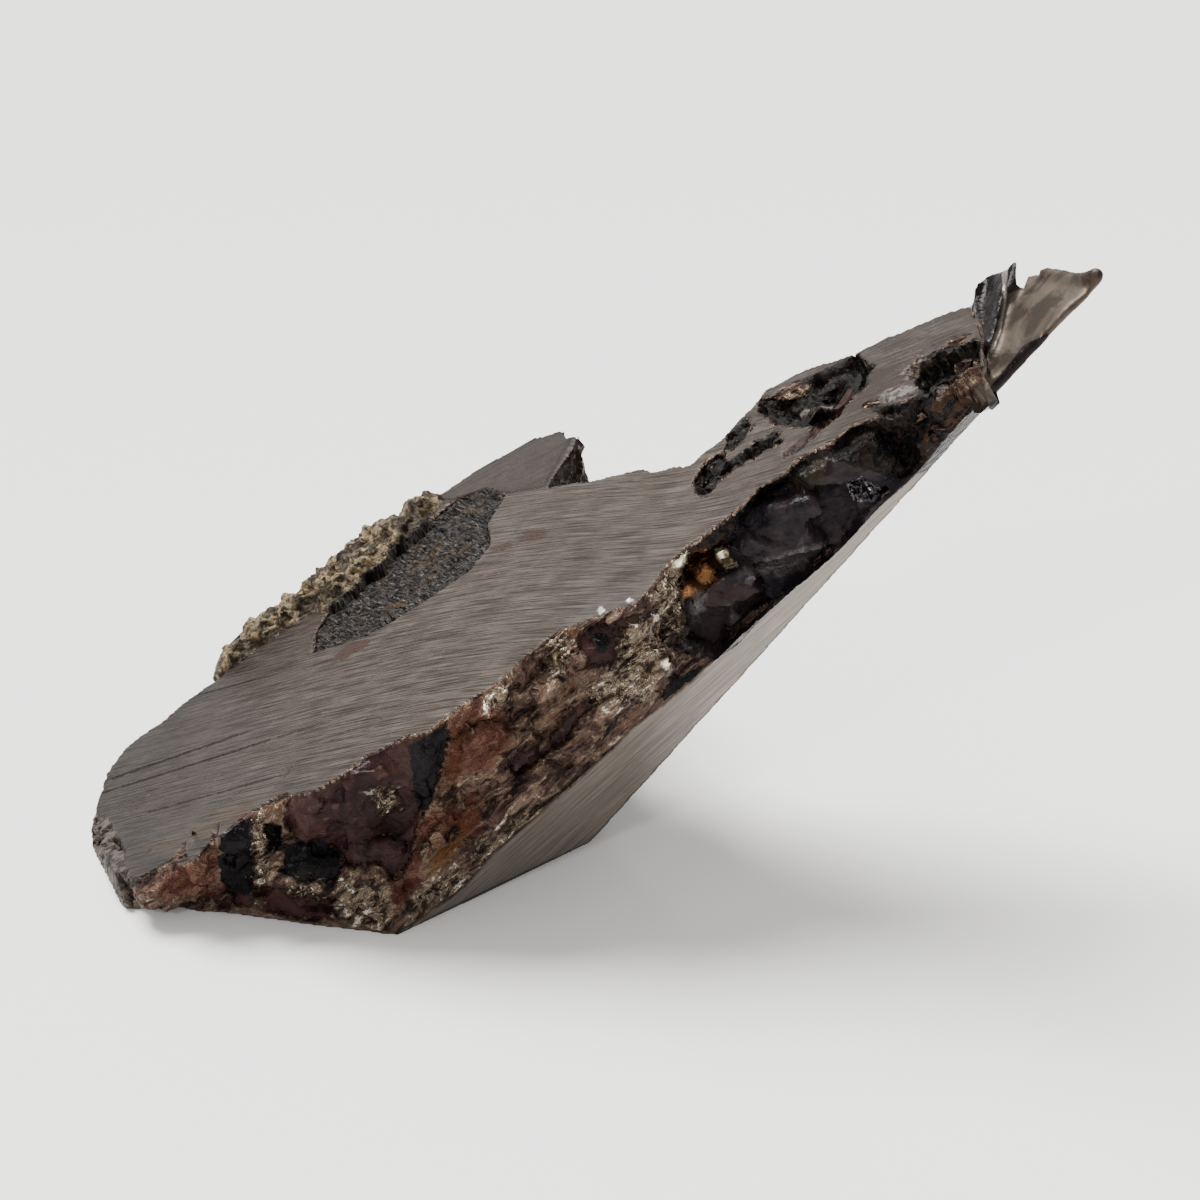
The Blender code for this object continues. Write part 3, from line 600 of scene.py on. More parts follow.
def sides(points, normals):
    """Which points face the camera's side, which belong to the top or its hollows, which to the tip."""
    torn = (inside_by(seen(points), TIP_OUTLINE) > 0) & (points[:, 0] > 10.0)
    facing = (normals[:, 1] < 0.4) & (under_top(points) > 0.1) & (points[:, 1] < -1.5) & ~torn
    above = (under_top(points) < 1.8) & (normals @ TOP_NORMAL > -0.3) & (normals[:, 2] > -0.3) & ~torn
    return facing, above, torn


def beside(mesh, chosen, others):
    """The chosen points that share an edge with one of the others."""
    ends = np.empty(len(mesh.edges) * 2, np.int32)
    mesh.edges.foreach_get("vertices", ends)
    first, second = ends.reshape(-1, 2).T
    found = np.zeros(len(chosen), bool)
    found[first[others[second]]] = True
    found[second[others[first]]] = True
    return found & chosen


def cut_facets(points, facing):
    """Puts the large flat faces of the glassy crystals in place."""
    places = seen(points)
    flat = np.zeros(len(points))
    for outline, (x, y, z), to_right, upwards in FACETS:
        inside = inside_by(places, outline)
        share = step_in(inside, -0.04, 0.10) * facing
        target = y + to_right * (points[:, 0] - x) + upwards * (points[:, 2] - z)
        share *= np.abs(target - points[:, 1]) < 1.2
        points[:, 1] += share * (target - points[:, 1])
        flat = np.maximum(flat, share)
    return flat


def build_body():
    obj = whole_body()
    mesh = obj.data
    points, normals = points_of(mesh), normals_of(mesh)
    torn = sides(points, normals)[2]
    top, strip, base = flats(points, normals, SNAP)
    top, strip = top & ~torn, strip & ~torn
    sawn = top | strip | base
    inner = sawn
    for _ in range(3):
        inner = inner & ~beside(mesh, inner, ~inner)
    soften(obj, np.where(inner, 0.0, 1.0), 8)
    root = (inside_by(seen(points), TIP_OUTLINE) > -1.2) & (points[:, 0] > 10.0) & ~top
    soften(obj, np.where(torn | root, 1.0, 0.0), 14)
    mesh = obj.data
    points = points_of(mesh)
    near = nearness(points)
    points += np.where(top, under_top(points), 0.0)[:, None] * TOP_NORMAL
    points += np.where(strip, behind_front(points), 0.0)[:, None] * FRONT_NORMAL
    points[:, 2] = np.where(base, 0.0, points[:, 2])

    facing, above, torn = sides(points, normals)
    fields = feature_fields(points, facing & ~top, above, torn)
    filled = above & (fields["made_flat"] > 0) & (under_top(points) < 1.3) & (under_top(points) > -0.3)
    lift = np.where(filled, under_top(points) * step_in(fields["made_flat"], 0.0, 0.08), 0.0)
    points += lift[:, None] * TOP_NORMAL
    sawn |= filled & (under_top(points) < 0.05)
    flat = cut_facets(points, facing & ~sawn & (normals[:, 1] < 0.0) & (fields["glassy"] > 0.03))
    gap = np.minimum(np.minimum(np.abs(under_top(points)), np.abs(behind_front(points))), points[:, 2])
    share = step_in(gap, 0.03, 0.4)
    share[sawn | torn] = 0.0
    near_tip = inside_by(seen(points), TIP_OUTLINE)
    share *= np.where(points[:, 0] > 10.0, step_in(-near_tip, 0.4, 1.8), 1.0)
    share *= 1 - 0.95 * flat
    glossy = np.max([fields[name] for name in ("purple", "black", "glassy")], axis=0) > 0
    rim = near["olivine_rim"] > 0
    for index in np.nonzero(share > 0.01)[0]:
        point = Vector(points[index])
        if rim[index]:
            relief = rim_relief(point)
        elif fields["side"][index] > 0:
            relief = 0.5 * end_relief(point)
        elif fields["end"][index] > 0:
            relief = END_SWELL + end_relief(point)
        elif glossy[index]:
            relief = crystal_relief(point)
        else:
            relief = wall_relief(point)
        points[index] += normals[index] * relief * share[index]
    sink_top(points, fields, near, top)
    points[:, 2] = np.maximum(points[:, 2], 0.0)
    put_points(mesh, points)
    for node in CRYSTALS:
        put_mask(mesh, "near_" + node, near[node])
    return decimate(obj, BODY_TRIANGLES, (normals @ sight()[1] > 0.1) & ~torn)


def sink_top(points, fields, near, top):
    """Recesses the gritty crystal, the hollows and the crack in the sawn top."""
    grit = near["olivine_gritty"] > 0
    hollow, crack, pitted = fields["hollow"], fields["crack"], fields["pitted"]
    for index in np.nonzero(top & (grit | (hollow > -0.25) | (crack > -0.15) | (pitted > 0)))[0]:
        point = Vector(points[index])
        wander = 0.22 * fbm(point, 0.45)
        depth = 0.85 * step_in(hollow[index] + wander, 0.0, 0.35)
        depth += 0.16 * step_in(crack[index] + 0.5 * wander, -0.02, 0.06)
        drop = -depth * (1 + 0.6 * fbm(point, 0.35))
        drop -= step_in(pitted[index], 0.0, 0.15) * max(0.05 + 0.5 * fbm(point, 0.40), 0.0)
        if grit[index]:
            drop += grit_relief(point) * min(max(near["olivine_gritty"][index] / 0.15, 0.0), 1.0)
        points[index] += TOP_NORMAL * min(drop, 0.0)


def add_masks(mesh):
    points, normals = points_of(mesh), normals_of(mesh)
    top, strip, base = flats(points, normals, 0.03)
    facing, above, torn = sides(points, normals)
    top, strip = top & ~torn, strip & ~torn
    fields = feature_fields(points, (facing & ~base) | top, above, torn)
    strip &= np.maximum(fields["glassy"], fields["dark"]) < 0
    for name, values in fields.items():
        if name not in ("glassy", "dark"):
            values = np.where(strip, -1.0, values)
        put_mask(mesh, name, values)
    made_flat = (fields["block"] > 0) | ((fields["made_flat"] > 0) & (under_top(points) < 0.3))
    put_mask(mesh, "sawn", top | strip | base | made_flat)
    # A painted shade line along the strip's outer edges: full on the edge ring, half on the next.
    away = ~strip & (normals @ sight()[1] > 0.0)
    outer = beside(mesh, strip, away)
    outer |= beside(mesh, strip, outer)
    put_mask(mesh, "brink_shade", np.where(outer, 1.0, 0.5 * beside(mesh, strip, outer)))
    put_mask(mesh, "strip", strip)
    put_mask(mesh, "torn", torn)
    put_mask(mesh, "rim", mask_of(mesh, "near_olivine_rim"))
    gritty = mask_of(mesh, "near_olivine_gritty")
    put_mask(mesh, "grit", np.where(under_top(points) < 0.7, gritty, -1.0))
    backs = [mask_of(mesh, "near_" + node) for node in CRYSTALS if "back" in node]
    put_mask(mesh, "green", np.max(backs, axis=0))


def crystal_pieces(body):
    """Takes each crystal's skin off the body as its own thin closed piece, and sinks the body there."""
    mesh = body.data
    nears = np.array([mask_of(mesh, "near_" + node) for node in CRYSTALS])
    owner = np.where(nears.max(axis=0) > 0, nears.argmax(axis=0), -1)
    bm = bmesh.new()
    bm.from_mesh(mesh)
    bm.verts.ensure_lookup_table()
    whose = {}
    for face in bm.faces:
        owners = {owner[vert.index] for vert in face.verts}
        whose[face.index] = owners.pop() if len(owners) == 1 else -1
    for number, node in enumerate(CRYSTALS):
        piece = bm.copy()
        others = [face for face in piece.faces if whose[face.index] != number]
        bmesh.ops.delete(piece, geom=others, context="FACES")
        obj = new_object(node + "_skin", piece)
        modifier = obj.modifiers.new("shell", "SOLIDIFY")
        modifier.thickness = SHELL
        modifier.offset = -1.0
        settle(obj)
        finish_piece(obj, node)
    for vert in bm.verts:
        owners = {whose[face.index] for face in vert.link_faces}
        if -1 not in owners:
            vert.co -= vert.normal * SINK
    bm.to_mesh(mesh)
    bm.free()


def finish_piece(obj, node):
    """Back to metres, shaded smooth but for sharp edges and sawn faces, and riding on the body."""
    mesh = obj.data
    for name in ["near_" + crystal for crystal in CRYSTALS]:
        mesh.attributes.remove(mesh.attributes[name])
    sawn = mask_of(mesh, "sawn") > 0.5
    points = points_of(mesh)
    points[:, 2] = np.maximum(points[:, 2], 0.0)
    put_points(mesh, (points - PLAN_CENTRE) * MM)
    mesh.materials.clear()
    mesh.materials.append(pallasite(obj.name, fields_on(mesh)))
    shaded = [not all(sawn[v] for v in face.vertices) for face in mesh.polygons]
    mesh.polygons.foreach_set("use_smooth", shaded)
    mesh.set_sharp_from_angle(angle=math.radians(50))
    mesh.name = obj.name
    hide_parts(node)
    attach(obj, "root")


ALL_OR_NONE = ("sawn", "strip", "torn", "brink_shade")


def fields_on(mesh):
    """The features that a piece's own points come near."""
    floats = [a.name for a in mesh.attributes if a.data_type == "FLOAT" and a.domain == "POINT"]
    reach = {name: mask_of(mesh, name).max() for name in floats}
    return {name for name, most in reach.items() if most > (0.5 if name in ALL_OR_NONE else -0.2)}


class Tree:
    """A material's nodes, with short calls. Its place is in millimetres from PLAN_CENTRE."""

    def __init__(self, name):
        self.material = bpy.data.materials.new(name)
        self.material.use_nodes = True
        self.nodes = self.material.node_tree.nodes
        self.links = self.material.node_tree.links
        self.shader = self.nodes["Principled BSDF"]
        place = self.nodes.new("ShaderNodeTexCoord").outputs["Object"]
        scale = self.nodes.new("ShaderNodeVectorMath")
        scale.operation = "MULTIPLY_ADD"
        self.links.new(place, scale.inputs[0])
        scale.inputs[1].default_value = (1 / MM,) * 3
        scale.inputs[2].default_value = tuple(PLAN_CENTRE)
        self.place = scale.outputs[0]

    def put(self, socket, value):
        if isinstance(value, bpy.types.NodeSocket):
            self.links.new(value, socket)
        elif value is not None:
            if isinstance(value, tuple) and len(value) == 3 and socket.type == "RGBA":
                value = (*value, 1.0)
            socket.default_value = value

    def math(self, operation, first, second=None, third=None):
        node = self.nodes.new("ShaderNodeMath")
        node.operation = operation
        for socket, value in zip(node.inputs, (first, second, third)):
            self.put(socket, value)
        return node.outputs[0]

    def vector(self, operation, first, second=None):
        node = self.nodes.new("ShaderNodeVectorMath")
        node.operation = operation
        self.put(node.inputs[0], first)
        if second is not None:
            self.put(node.inputs[1], second)
        return node.outputs["Value" if operation in ("DOT_PRODUCT", "LENGTH") else 0]

    def combine(self, x, y, z):
        node = self.nodes.new("ShaderNodeCombineXYZ")
        for socket, value in zip(node.inputs, (x, y, z)):
            self.put(socket, value)
        return node.outputs[0]

    def split(self, vector):
        node = self.nodes.new("ShaderNodeSeparateXYZ")
        self.put(node.inputs[0], vector)
        return node.outputs

    def attribute(self, name):
        node = self.nodes.new("ShaderNodeAttribute")
        node.attribute_name = name
        return node.outputs["Fac"]

    def noise(self, size, detail=3.0, roughness=0.55, at=None, warp=0.0):
        node = self.nodes.new("ShaderNodeTexNoise")
        self.put(node.inputs["Vector"], at or self.place)
        node.inputs["Scale"].default_value = 1 / size
        node.inputs["Detail"].default_value = detail
        node.inputs["Roughness"].default_value = roughness
        node.inputs["Distortion"].default_value = warp
        return node.outputs["Fac"]

    def cells(self, size, at=None, output="Distance", feature="F1"):
        node = self.nodes.new("ShaderNodeTexVoronoi")
        node.feature = feature
        self.put(node.inputs["Vector"], at or self.place)
        node.inputs["Scale"].default_value = 1 / size
        return node.outputs[output]

    def ramp(self, value, low, high, to_low=0.0, to_high=1.0):
        node = self.nodes.new("ShaderNodeMapRange")
        node.interpolation_type = "SMOOTHSTEP"
        for socket, number in zip(node.inputs, (value, low, high, to_low, to_high)):
            self.put(socket, number)
        return node.outputs[0]

    def mix(self, share, first, second, blend="MIX"):
        node = self.nodes.new("ShaderNodeMix")
        node.data_type = "RGBA"
        node.blend_type = blend
        self.put(node.inputs["Factor"], share)
        self.put(node.inputs[6], first)
        self.put(node.inputs[7], second)
        return node.outputs[2]

    def number(self, share, first, second):
        node = self.nodes.new("ShaderNodeMix")
        node.data_type = "FLOAT"
        self.put(node.inputs["Factor"], share)
        self.put(node.inputs[2], first)
        self.put(node.inputs[3], second)
        return node.outputs[0]

    def crisp(self, name, edge=0.04, wander=0.25, shift=0.0):
        """A feature's field as a share, with an edge that wanders with the shared noises."""
        field = self.math("MULTIPLY_ADD", self.wobble, wander, self.attribute(name))
        return self.ramp(field, shift - edge, shift + edge)

    def share_noises(self):
        """The noises that every look draws on."""
        self.patch = self.noise(1.3, 3.0, 0.6, None, 0.5)
        self.spot = self.noise(0.46, 4.0, 0.62, None, 0.9)
        self.grain = self.noise(0.17, 3.0, 0.65, None, 0.5)
        mixed = self.math("MULTIPLY_ADD", self.grain, 0.5, self.spot)
        self.wobble = self.math("SUBTRACT", mixed, 0.75)
        self.ridges = self.wall_ridges()

    def wall_ridges(self):
        """A noise drawn out along the front wall's ridges."""
        x, y, z = self.split(self.place)
        run = self.math("ADD", self.math("MULTIPLY", x, 0.75), self.math("MULTIPLY", z, 0.66))
        rise = self.math("SUBTRACT", self.math("MULTIPLY", z, 0.75), self.math("MULTIPLY", x, 0.66))
        place = self.combine(self.math("DIVIDE", run, 3.0), y, rise)
        return self.noise(0.40, 4.0, 0.65, place, 0.9)


class Skin:
    """Colour, metal, roughness and height of a surface, laid over each other by shares."""

    def __init__(self, tree, colour, metal, rough, height):
        self.tree = tree
        self.colour, self.metal, self.rough, self.height = colour, metal, rough, height

    def over(self, share, top):
        tree = self.tree
        self.colour = tree.mix(share, self.colour, top.colour)
        self.metal = tree.number(share, self.metal, top.metal)
        self.rough = tree.number(share, self.rough, top.rough)
        self.height = tree.number(share, self.height, top.height)

    def tint(self, share, colour):
        self.colour = self.tree.mix(share, self.colour, colour)

    def material(self, specular):
        tree = self.tree
        bump = tree.nodes.new("ShaderNodeBump")
        bump.inputs["Distance"].default_value = MM
        tree.put(bump.inputs["Height"], self.height)
        tree.put(tree.shader.inputs["Base Color"], self.colour)
        tree.put(tree.shader.inputs["Metallic"], self.metal)
        tree.put(tree.shader.inputs["Roughness"], self.rough)
        tree.links.new(bump.outputs[0], tree.shader.inputs["Normal"])
        tree.shader.inputs["Specular IOR Level"].default_value = specular
        return tree.material


# Looks of the kinds of surface. Heights are in millimetres.

BEND_X = 1.0            # where the saw marks turn most
LEFT_BEND = (0.566, 0.694, 6.0)         # their slope in plan far left, what the bend adds, its width
RIGHT_BEND = (0.35, 0.91, 3.0)


def bent(tree, off, far, added, width):
    """How far a saw mark has drifted at a distance from the bend."""
    turn = tree.math("ARCTANGENT", tree.math("DIVIDE", off, width))
    return tree.math("MULTIPLY_ADD", off, far, tree.math("MULTIPLY", turn, added * width))


def saw_place(tree):
    """Coordinates across and along the curved saw marks of the top."""
    x, y, _ = tree.split(tree.place)
    off = tree.math("SUBTRACT", x, BEND_X)
    left = bent(tree, tree.math("MINIMUM", off, 0.0), *LEFT_BEND)
    right = bent(tree, tree.math("MAXIMUM", off, 0.0), *RIGHT_BEND)
    return tree.math("ADD", y, tree.math("ADD", left, right)), x


def streaks(tree, across, along, pitch, length, seed, detail=2.0):
    place = tree.combine(
        tree.math("DIVIDE", across, pitch), tree.math("DIVIDE", along, length), seed
    )
    return tree.noise(1.0, detail, 0.6, place)


def sawn_skin(tree, fields):
    across, along = saw_place(tree)
    if "block" in fields:
        leaning = tree.math("MULTIPLY_ADD", along, -0.9, across)
        across = tree.number(tree.crisp("block"), across, leaning)
    fine = streaks(tree, across, along, 0.060, 1.5, 0.0, 3.0)
    broad = streaks(tree, across, along, 0.12, 3.4, 7.0, 3.0)
    x, _, _ = tree.split(tree.place)
    left_dark = tree.ramp(x, -17.0, -5.0, 0.36, 1.0)
    right_dark = tree.ramp(x, 2.5, 8.0, 1.0, 0.68)
    level = tree.ramp(fine, 0.38, 0.61, 0.34, 1.56)
    level = tree.math("MULTIPLY", level, tree.math("MULTIPLY", left_dark, right_dark))
    if "block" in fields:
        level = tree.math("MULTIPLY", level, tree.number(tree.crisp("block"), 1.0, 0.40))
    tone = tree.mix(tree.ramp(tree.patch, 0.38, 0.62), (0.058, 0.044, 0.036), (0.073, 0.060, 0.052))
    colour = tree.mix(1.0, tone, tree.combine(level, level, level), "MULTIPLY")
    marked = tree.ramp(x, -6.0, 2.0, 1.0, 0.60)
    if "block" in fields:
        marked = tree.math("ADD", marked, tree.crisp("block"))
    lines = tree.math("MULTIPLY", tree.ramp(broad, 0.46, 0.40), marked)
    colour = tree.mix(tree.math("MULTIPLY", lines, 0.80), colour, (0.015, 0.009, 0.006))
    rust = tree.math("MULTIPLY", tree.ramp(broad, 0.50, 0.40), tree.ramp(tree.patch, 0.52, 0.66))
    colour = tree.mix(tree.math("MULTIPLY", rust, 0.45), colour, (0.042, 0.025, 0.016))
    worn = tree.math("MULTIPLY", tree.ramp(x, 3.0, 6.0), tree.ramp(tree.spot, 0.46, 0.58))
    colour = tree.mix(tree.math("MULTIPLY", worn, 0.55), colour, (0.026, 0.020, 0.016))
    dots = tree.ramp(tree.grain, 0.64, 0.76, 0.0, 0.45)
    colour = tree.mix(dots, colour, (0.17, 0.155, 0.14))
    height = tree.math("MULTIPLY_ADD", broad, 0.07, tree.math("MULTIPLY", fine, 0.045))
    return Skin(tree, colour, tree.number(lines, 0.55, 0.1), 0.42, height)


def groove(tree, start, end, width):
    """Share of a long dark saw groove in the top, from one pixel of the frame to another."""
    start, end = Vector(on_top(start)), Vector(on_top(end))
    run = (end - start).normalized()
    side = Vector(TOP_NORMAL).cross(run).normalized()
    off = tree.vector("SUBTRACT", tree.place, tuple(start))
    along = tree.vector("DOT_PRODUCT", off, tuple(run))
    across = tree.math("MULTIPLY_ADD", tree.wobble, 0.20, tree.vector("DOT_PRODUCT", off, tuple(side)))
    body = tree.ramp(tree.math("ABSOLUTE", across), width / 2, width / 5)
    length = (end - start).length
    fade = tree.ramp(along, length, length * 0.45)
    patchy = tree.ramp(tree.spot, 0.36, 0.52, 0.35, 1.0)
    begins = tree.ramp(along, -0.2, 0.1)
    return tree.math("MULTIPLY", tree.math("MULTIPLY", body, fade), tree.math("MULTIPLY", patchy, begins))


def strip_skin(tree):
    """The sawn front strip: light, with fine scratches along it."""
    along = Vector((17.5, 4.5, 15.04)).normalized()
    side = Vector(FRONT_NORMAL).cross(along).normalized()
    run = tree.vector("DOT_PRODUCT", tree.place, tuple(along))
    across = tree.vector("DOT_PRODUCT", tree.place, tuple(side))
    lines = streaks(tree, across, run, 0.10, 2.6, 0.0, 3.0)
    x, _, _ = tree.split(tree.place)
    # Painted shade: the strip is darker towards its lower left end, near the floor.
    low = tree.ramp(x, -5.0, 1.0, 0.70, 1.0)
    colour = tree.mix(tree.ramp(lines, 0.36, 0.62), (0.092, 0.073, 0.058), (0.215, 0.178, 0.145))
    colour = tree.mix(1.0, colour, tree.combine(low, low, low), "MULTIPLY")
    colour = tree.mix(tree.ramp(tree.patch, 0.55, 0.72, 0.0, 0.4), colour, (0.10, 0.075, 0.055))
    return Skin(tree, colour, 0.5, 0.42, tree.math("MULTIPLY", lines, 0.015))


def rubble_skin(tree):
    """The golden-brown broken wall, with ridges that run up it and small metal glints."""
    ridges = tree.ridges
    colour = tree.mix(tree.ramp(tree.patch, 0.42, 0.58), (0.044, 0.024, 0.020), (0.124, 0.078, 0.060))
    colour = tree.mix(tree.ramp(ridges, 0.50, 0.60, 0.0, 0.75), colour, (0.215, 0.148, 0.102))
    rust = tree.math("MULTIPLY", tree.ramp(tree.spot, 0.54, 0.64), tree.ramp(tree.patch, 0.44, 0.54))
    colour = tree.mix(tree.math("MULTIPLY", rust, 0.5), colour, (0.13, 0.044, 0.020))
    # Painted shade: the creases between the ridges are darkened.
    colour = tree.mix(tree.ramp(ridges, 0.47, 0.38, 0.0, 0.9), colour, (0.007, 0.004, 0.004))
    pale = tree.math("MULTIPLY", tree.ramp(tree.grain, 0.52, 0.64), tree.ramp(ridges, 0.50, 0.60))
    colour = tree.mix(pale, colour, (0.36, 0.28, 0.20))
    height = tree.math("MULTIPLY_ADD", ridges, 0.62, tree.math("MULTIPLY", tree.grain, 0.22))
    return Skin(tree, colour, tree.number(pale, 0.30, 0.95), tree.number(pale, 0.36, 0.22), height)


def glassy_skin(tree, deep, tint, painted_glow, relief=1.0, rough=0.16):
    """Dark glossy olivine: a deep colour, a tint in soft patches, and painted highlights as a glow in small spots."""
    colour = tree.mix(tree.ramp(tree.patch, 0.40, 0.62), deep, tint)
    colour = tree.mix(tree.ramp(tree.spot, 0.60, 0.74, 0.0, 0.6), colour, painted_glow)
    height = tree.math("MULTIPLY_ADD", tree.spot, 0.10 * relief, tree.math("MULTIPLY", tree.patch, 0.16 * relief))
    return Skin(tree, colour, 0.0, rough, height)


def foil_skin(tree, dull, bright):
    """Crumpled bare metal, dull brown, painted dark as shade in its creases and with painted highlights, small bright
    points, on its crests.
    """
    crests = tree.math("MULTIPLY_ADD", tree.spot, 0.7, tree.math("MULTIPLY_ADD", tree.grain, 0.3, tree.ridges))
    colour = tree.mix(tree.ramp(crests, 0.90, 1.04), (0.022, 0.013, 0.010), dull)
    colour = tree.mix(tree.ramp(crests, 1.10, 1.18), colour, bright)
    return Skin(tree, colour, tree.ramp(crests, 0.86, 1.0, 0.2, 1.0), 0.24, tree.math("MULTIPLY", crests, 0.40))


def rim_skin(tree):
    creases = tree.cells(0.30)
    colour = tree.mix(tree.ramp(tree.patch, 0.38, 0.60), (0.050, 0.038, 0.024), (0.200, 0.150, 0.090))
    shade = tree.ramp(tree.grain, 0.38, 0.60, 0.30, 1.25)
    colour = tree.mix(1.0, colour, tree.combine(shade, shade, shade), "MULTIPLY")
    colour = tree.mix(tree.ramp(tree.spot, 0.60, 0.68, 0.0, 0.65), colour, (0.17, 0.085, 0.020))
    colour = tree.mix(tree.ramp(tree.spot, 0.42, 0.34, 0.0, 0.9), colour, (0.012, 0.010, 0.008))
    # Painted shade: the creases between the grains are darkened.
    colour = tree.mix(tree.ramp(creases, 0.55, 0.80), colour, (0.018, 0.013, 0.009))
    height = tree.math("MULTIPLY_ADD", creases, -0.10, tree.math("MULTIPLY", tree.grain, 0.10))
    return Skin(tree, colour, 0.0, 0.42, height)


def grit_skin(tree):
    across, along = saw_place(tree)
    lines = streaks(tree, across, along, 0.13, 0.50, 3.0, 4.0)
    strokes = streaks(tree, across, along, 0.08, 0.28, 11.0)
    colour = tree.mix(tree.ramp(lines, 0.45, 0.58), (0.002, 0.0017, 0.0018), (0.034, 0.028, 0.025))
    colour = tree.mix(tree.ramp(strokes, 0.56, 0.68, 0.0, 0.75), colour, (0.125, 0.110, 0.100))
    colour = tree.mix(tree.ramp(tree.patch, 0.57, 0.68, 0.0, 0.35), colour, (0.085, 0.052, 0.024))
    height = tree.math("MULTIPLY_ADD", lines, 0.20, tree.math("MULTIPLY", strokes, 0.10))
    return Skin(tree, colour, 0.15, 0.36, height)


def rough_skin(tree, dark, light, relief=0.14, rough=0.42):
    """Rough broken stone or metal, between a dark and a lighter colour."""
    mixed = tree.math("MULTIPLY_ADD", tree.grain, 0.6, tree.spot)
    colour = tree.mix(tree.ramp(mixed, 0.72, 0.90), dark, light)
    return Skin(tree, colour, 0.1, rough, tree.math("MULTIPLY", mixed, relief))


def plain_skin(tree, colour, metal, rough, relief=0.05):
    return Skin(tree, colour, metal, rough, tree.math("MULTIPLY", tree.spot, relief))


def torn_skin(tree):
    """The torn tip: silvery brown, smooth, with a few darker stains."""
    colour = tree.mix(tree.ramp(tree.patch, 0.42, 0.60), (0.029, 0.022, 0.017), (0.076, 0.060, 0.047))
    colour = tree.mix(tree.ramp(tree.spot, 0.58, 0.70, 0.0, 0.5), colour, (0.085, 0.042, 0.020))
    return Skin(tree, colour, 0.45, 0.46, tree.math("MULTIPLY", tree.patch, 0.10))


def wall_skin(tree, fields):
    """The front wall and every broken face, with the crystals that show in it."""
    skin = rubble_skin(tree)
    layers = (
        ("orange", 0.16, 0.55, (0.13, 0.060, 0.016)),
        ("red", 0.20, 0.60, (0.100, 0.032, 0.021)),
    )
    for name, edge, share, colour in layers:
        if name in fields:
            skin.tint(tree.math("MULTIPLY", tree.crisp(name, edge, 0.6), share), colour)
    # Each row: name, edge, wander, and the deep, tint and painted glow colours; the glow colour is painted highlight.
    crystals = (
        ("purple", 0.10, 0.6, ((0.014, 0.006, 0.0065), (0.036, 0.016, 0.0145), (0.085, 0.042, 0.034))),
        ("black", 0.05, 0.5, ((0.0014, 0.0011, 0.0014), (0.005, 0.0038, 0.0046), (0.020, 0.015, 0.016))),
        ("glassy", 0.03, 0.2, ((0.008, 0.0068, 0.0088), (0.025, 0.0185, 0.020), (0.065, 0.046, 0.042))),
        ("facet", 0.06, 0.3, ((0.014, 0.008, 0.009), (0.024, 0.015, 0.015), (0.050, 0.034, 0.030))),
        ("olive", 0.08, 0.6, ((0.009, 0.007, 0.005), (0.022, 0.017, 0.011), (0.075, 0.06, 0.045))),
        # Amber: its bright orange glow is painted light shining through the crystal.
        ("amber", 0.12, 0.9, ((0.014, 0.006, 0.003), (0.070, 0.024, 0.008), (0.90, 0.42, 0.12))),
        ("green", 0.06, 0.4, ((0.016, 0.012, 0.006), (0.048, 0.038, 0.016), (0.12, 0.095, 0.045))),
    )
    for name, edge, wander, colours in crystals:
        if name in fields:
            skin.over(tree.crisp(name, edge, wander), glassy_skin(tree, *colours))
    if "end" in fields:
        skin.over(tree.crisp("end"), rough_skin(tree, (0.014, 0.010, 0.009), (0.075, 0.058, 0.048)))
    if "dark" in fields:
        skin.over(tree.crisp("dark", 0.06, 0.4), rough_skin(tree, (0.002, 0.0017, 0.002), (0.018, 0.012, 0.010), 0.2, 0.2))
    # The pale metal: painted shade in its creases and painted highlights on its crests.
    if "pale" in fields:
        skin.over(tree.crisp("pale", 0.16, 1.0), foil_skin(tree, (0.210, 0.162, 0.118), (0.85, 0.76, 0.66)))
    # Painted highlights: the gold glints, as bright metal patches.
    if "gold_glint" in fields:
        skin.over(tree.crisp("gold_glint", 0.08, 0.45), plain_skin(tree, (1.0, 0.88, 0.64), 1.0, 0.30, 0.03))
    # Painted highlights: the orange glints in the amber.
    if "orange_glint" in fields:
        skin.over(tree.crisp("orange_glint", 0.16, 0.7), plain_skin(tree, (1.0, 0.50, 0.22), 0.6, 0.35, 0.03))
    # Painted highlights of the glassy faces.
    if "shine" in fields:
        skin.over(tree.crisp("shine", 0.22, 0.9), plain_skin(tree, (0.085, 0.074, 0.076), 0.4, 0.32, 0.14))
    # Painted highlights: bright metal lines where the scratches of the facet catch light.
    if "scratch_glints" in fields:
        scratch_glint_share = tree.math("MULTIPLY", tree.crisp("scratch_glints", 0.08, 0.4), tree.ramp(tree.grain, 0.47, 0.54))
        skin.over(scratch_glint_share, plain_skin(tree, (0.42, 0.41, 0.43), 0.9, 0.25, 0.14))
    return skin


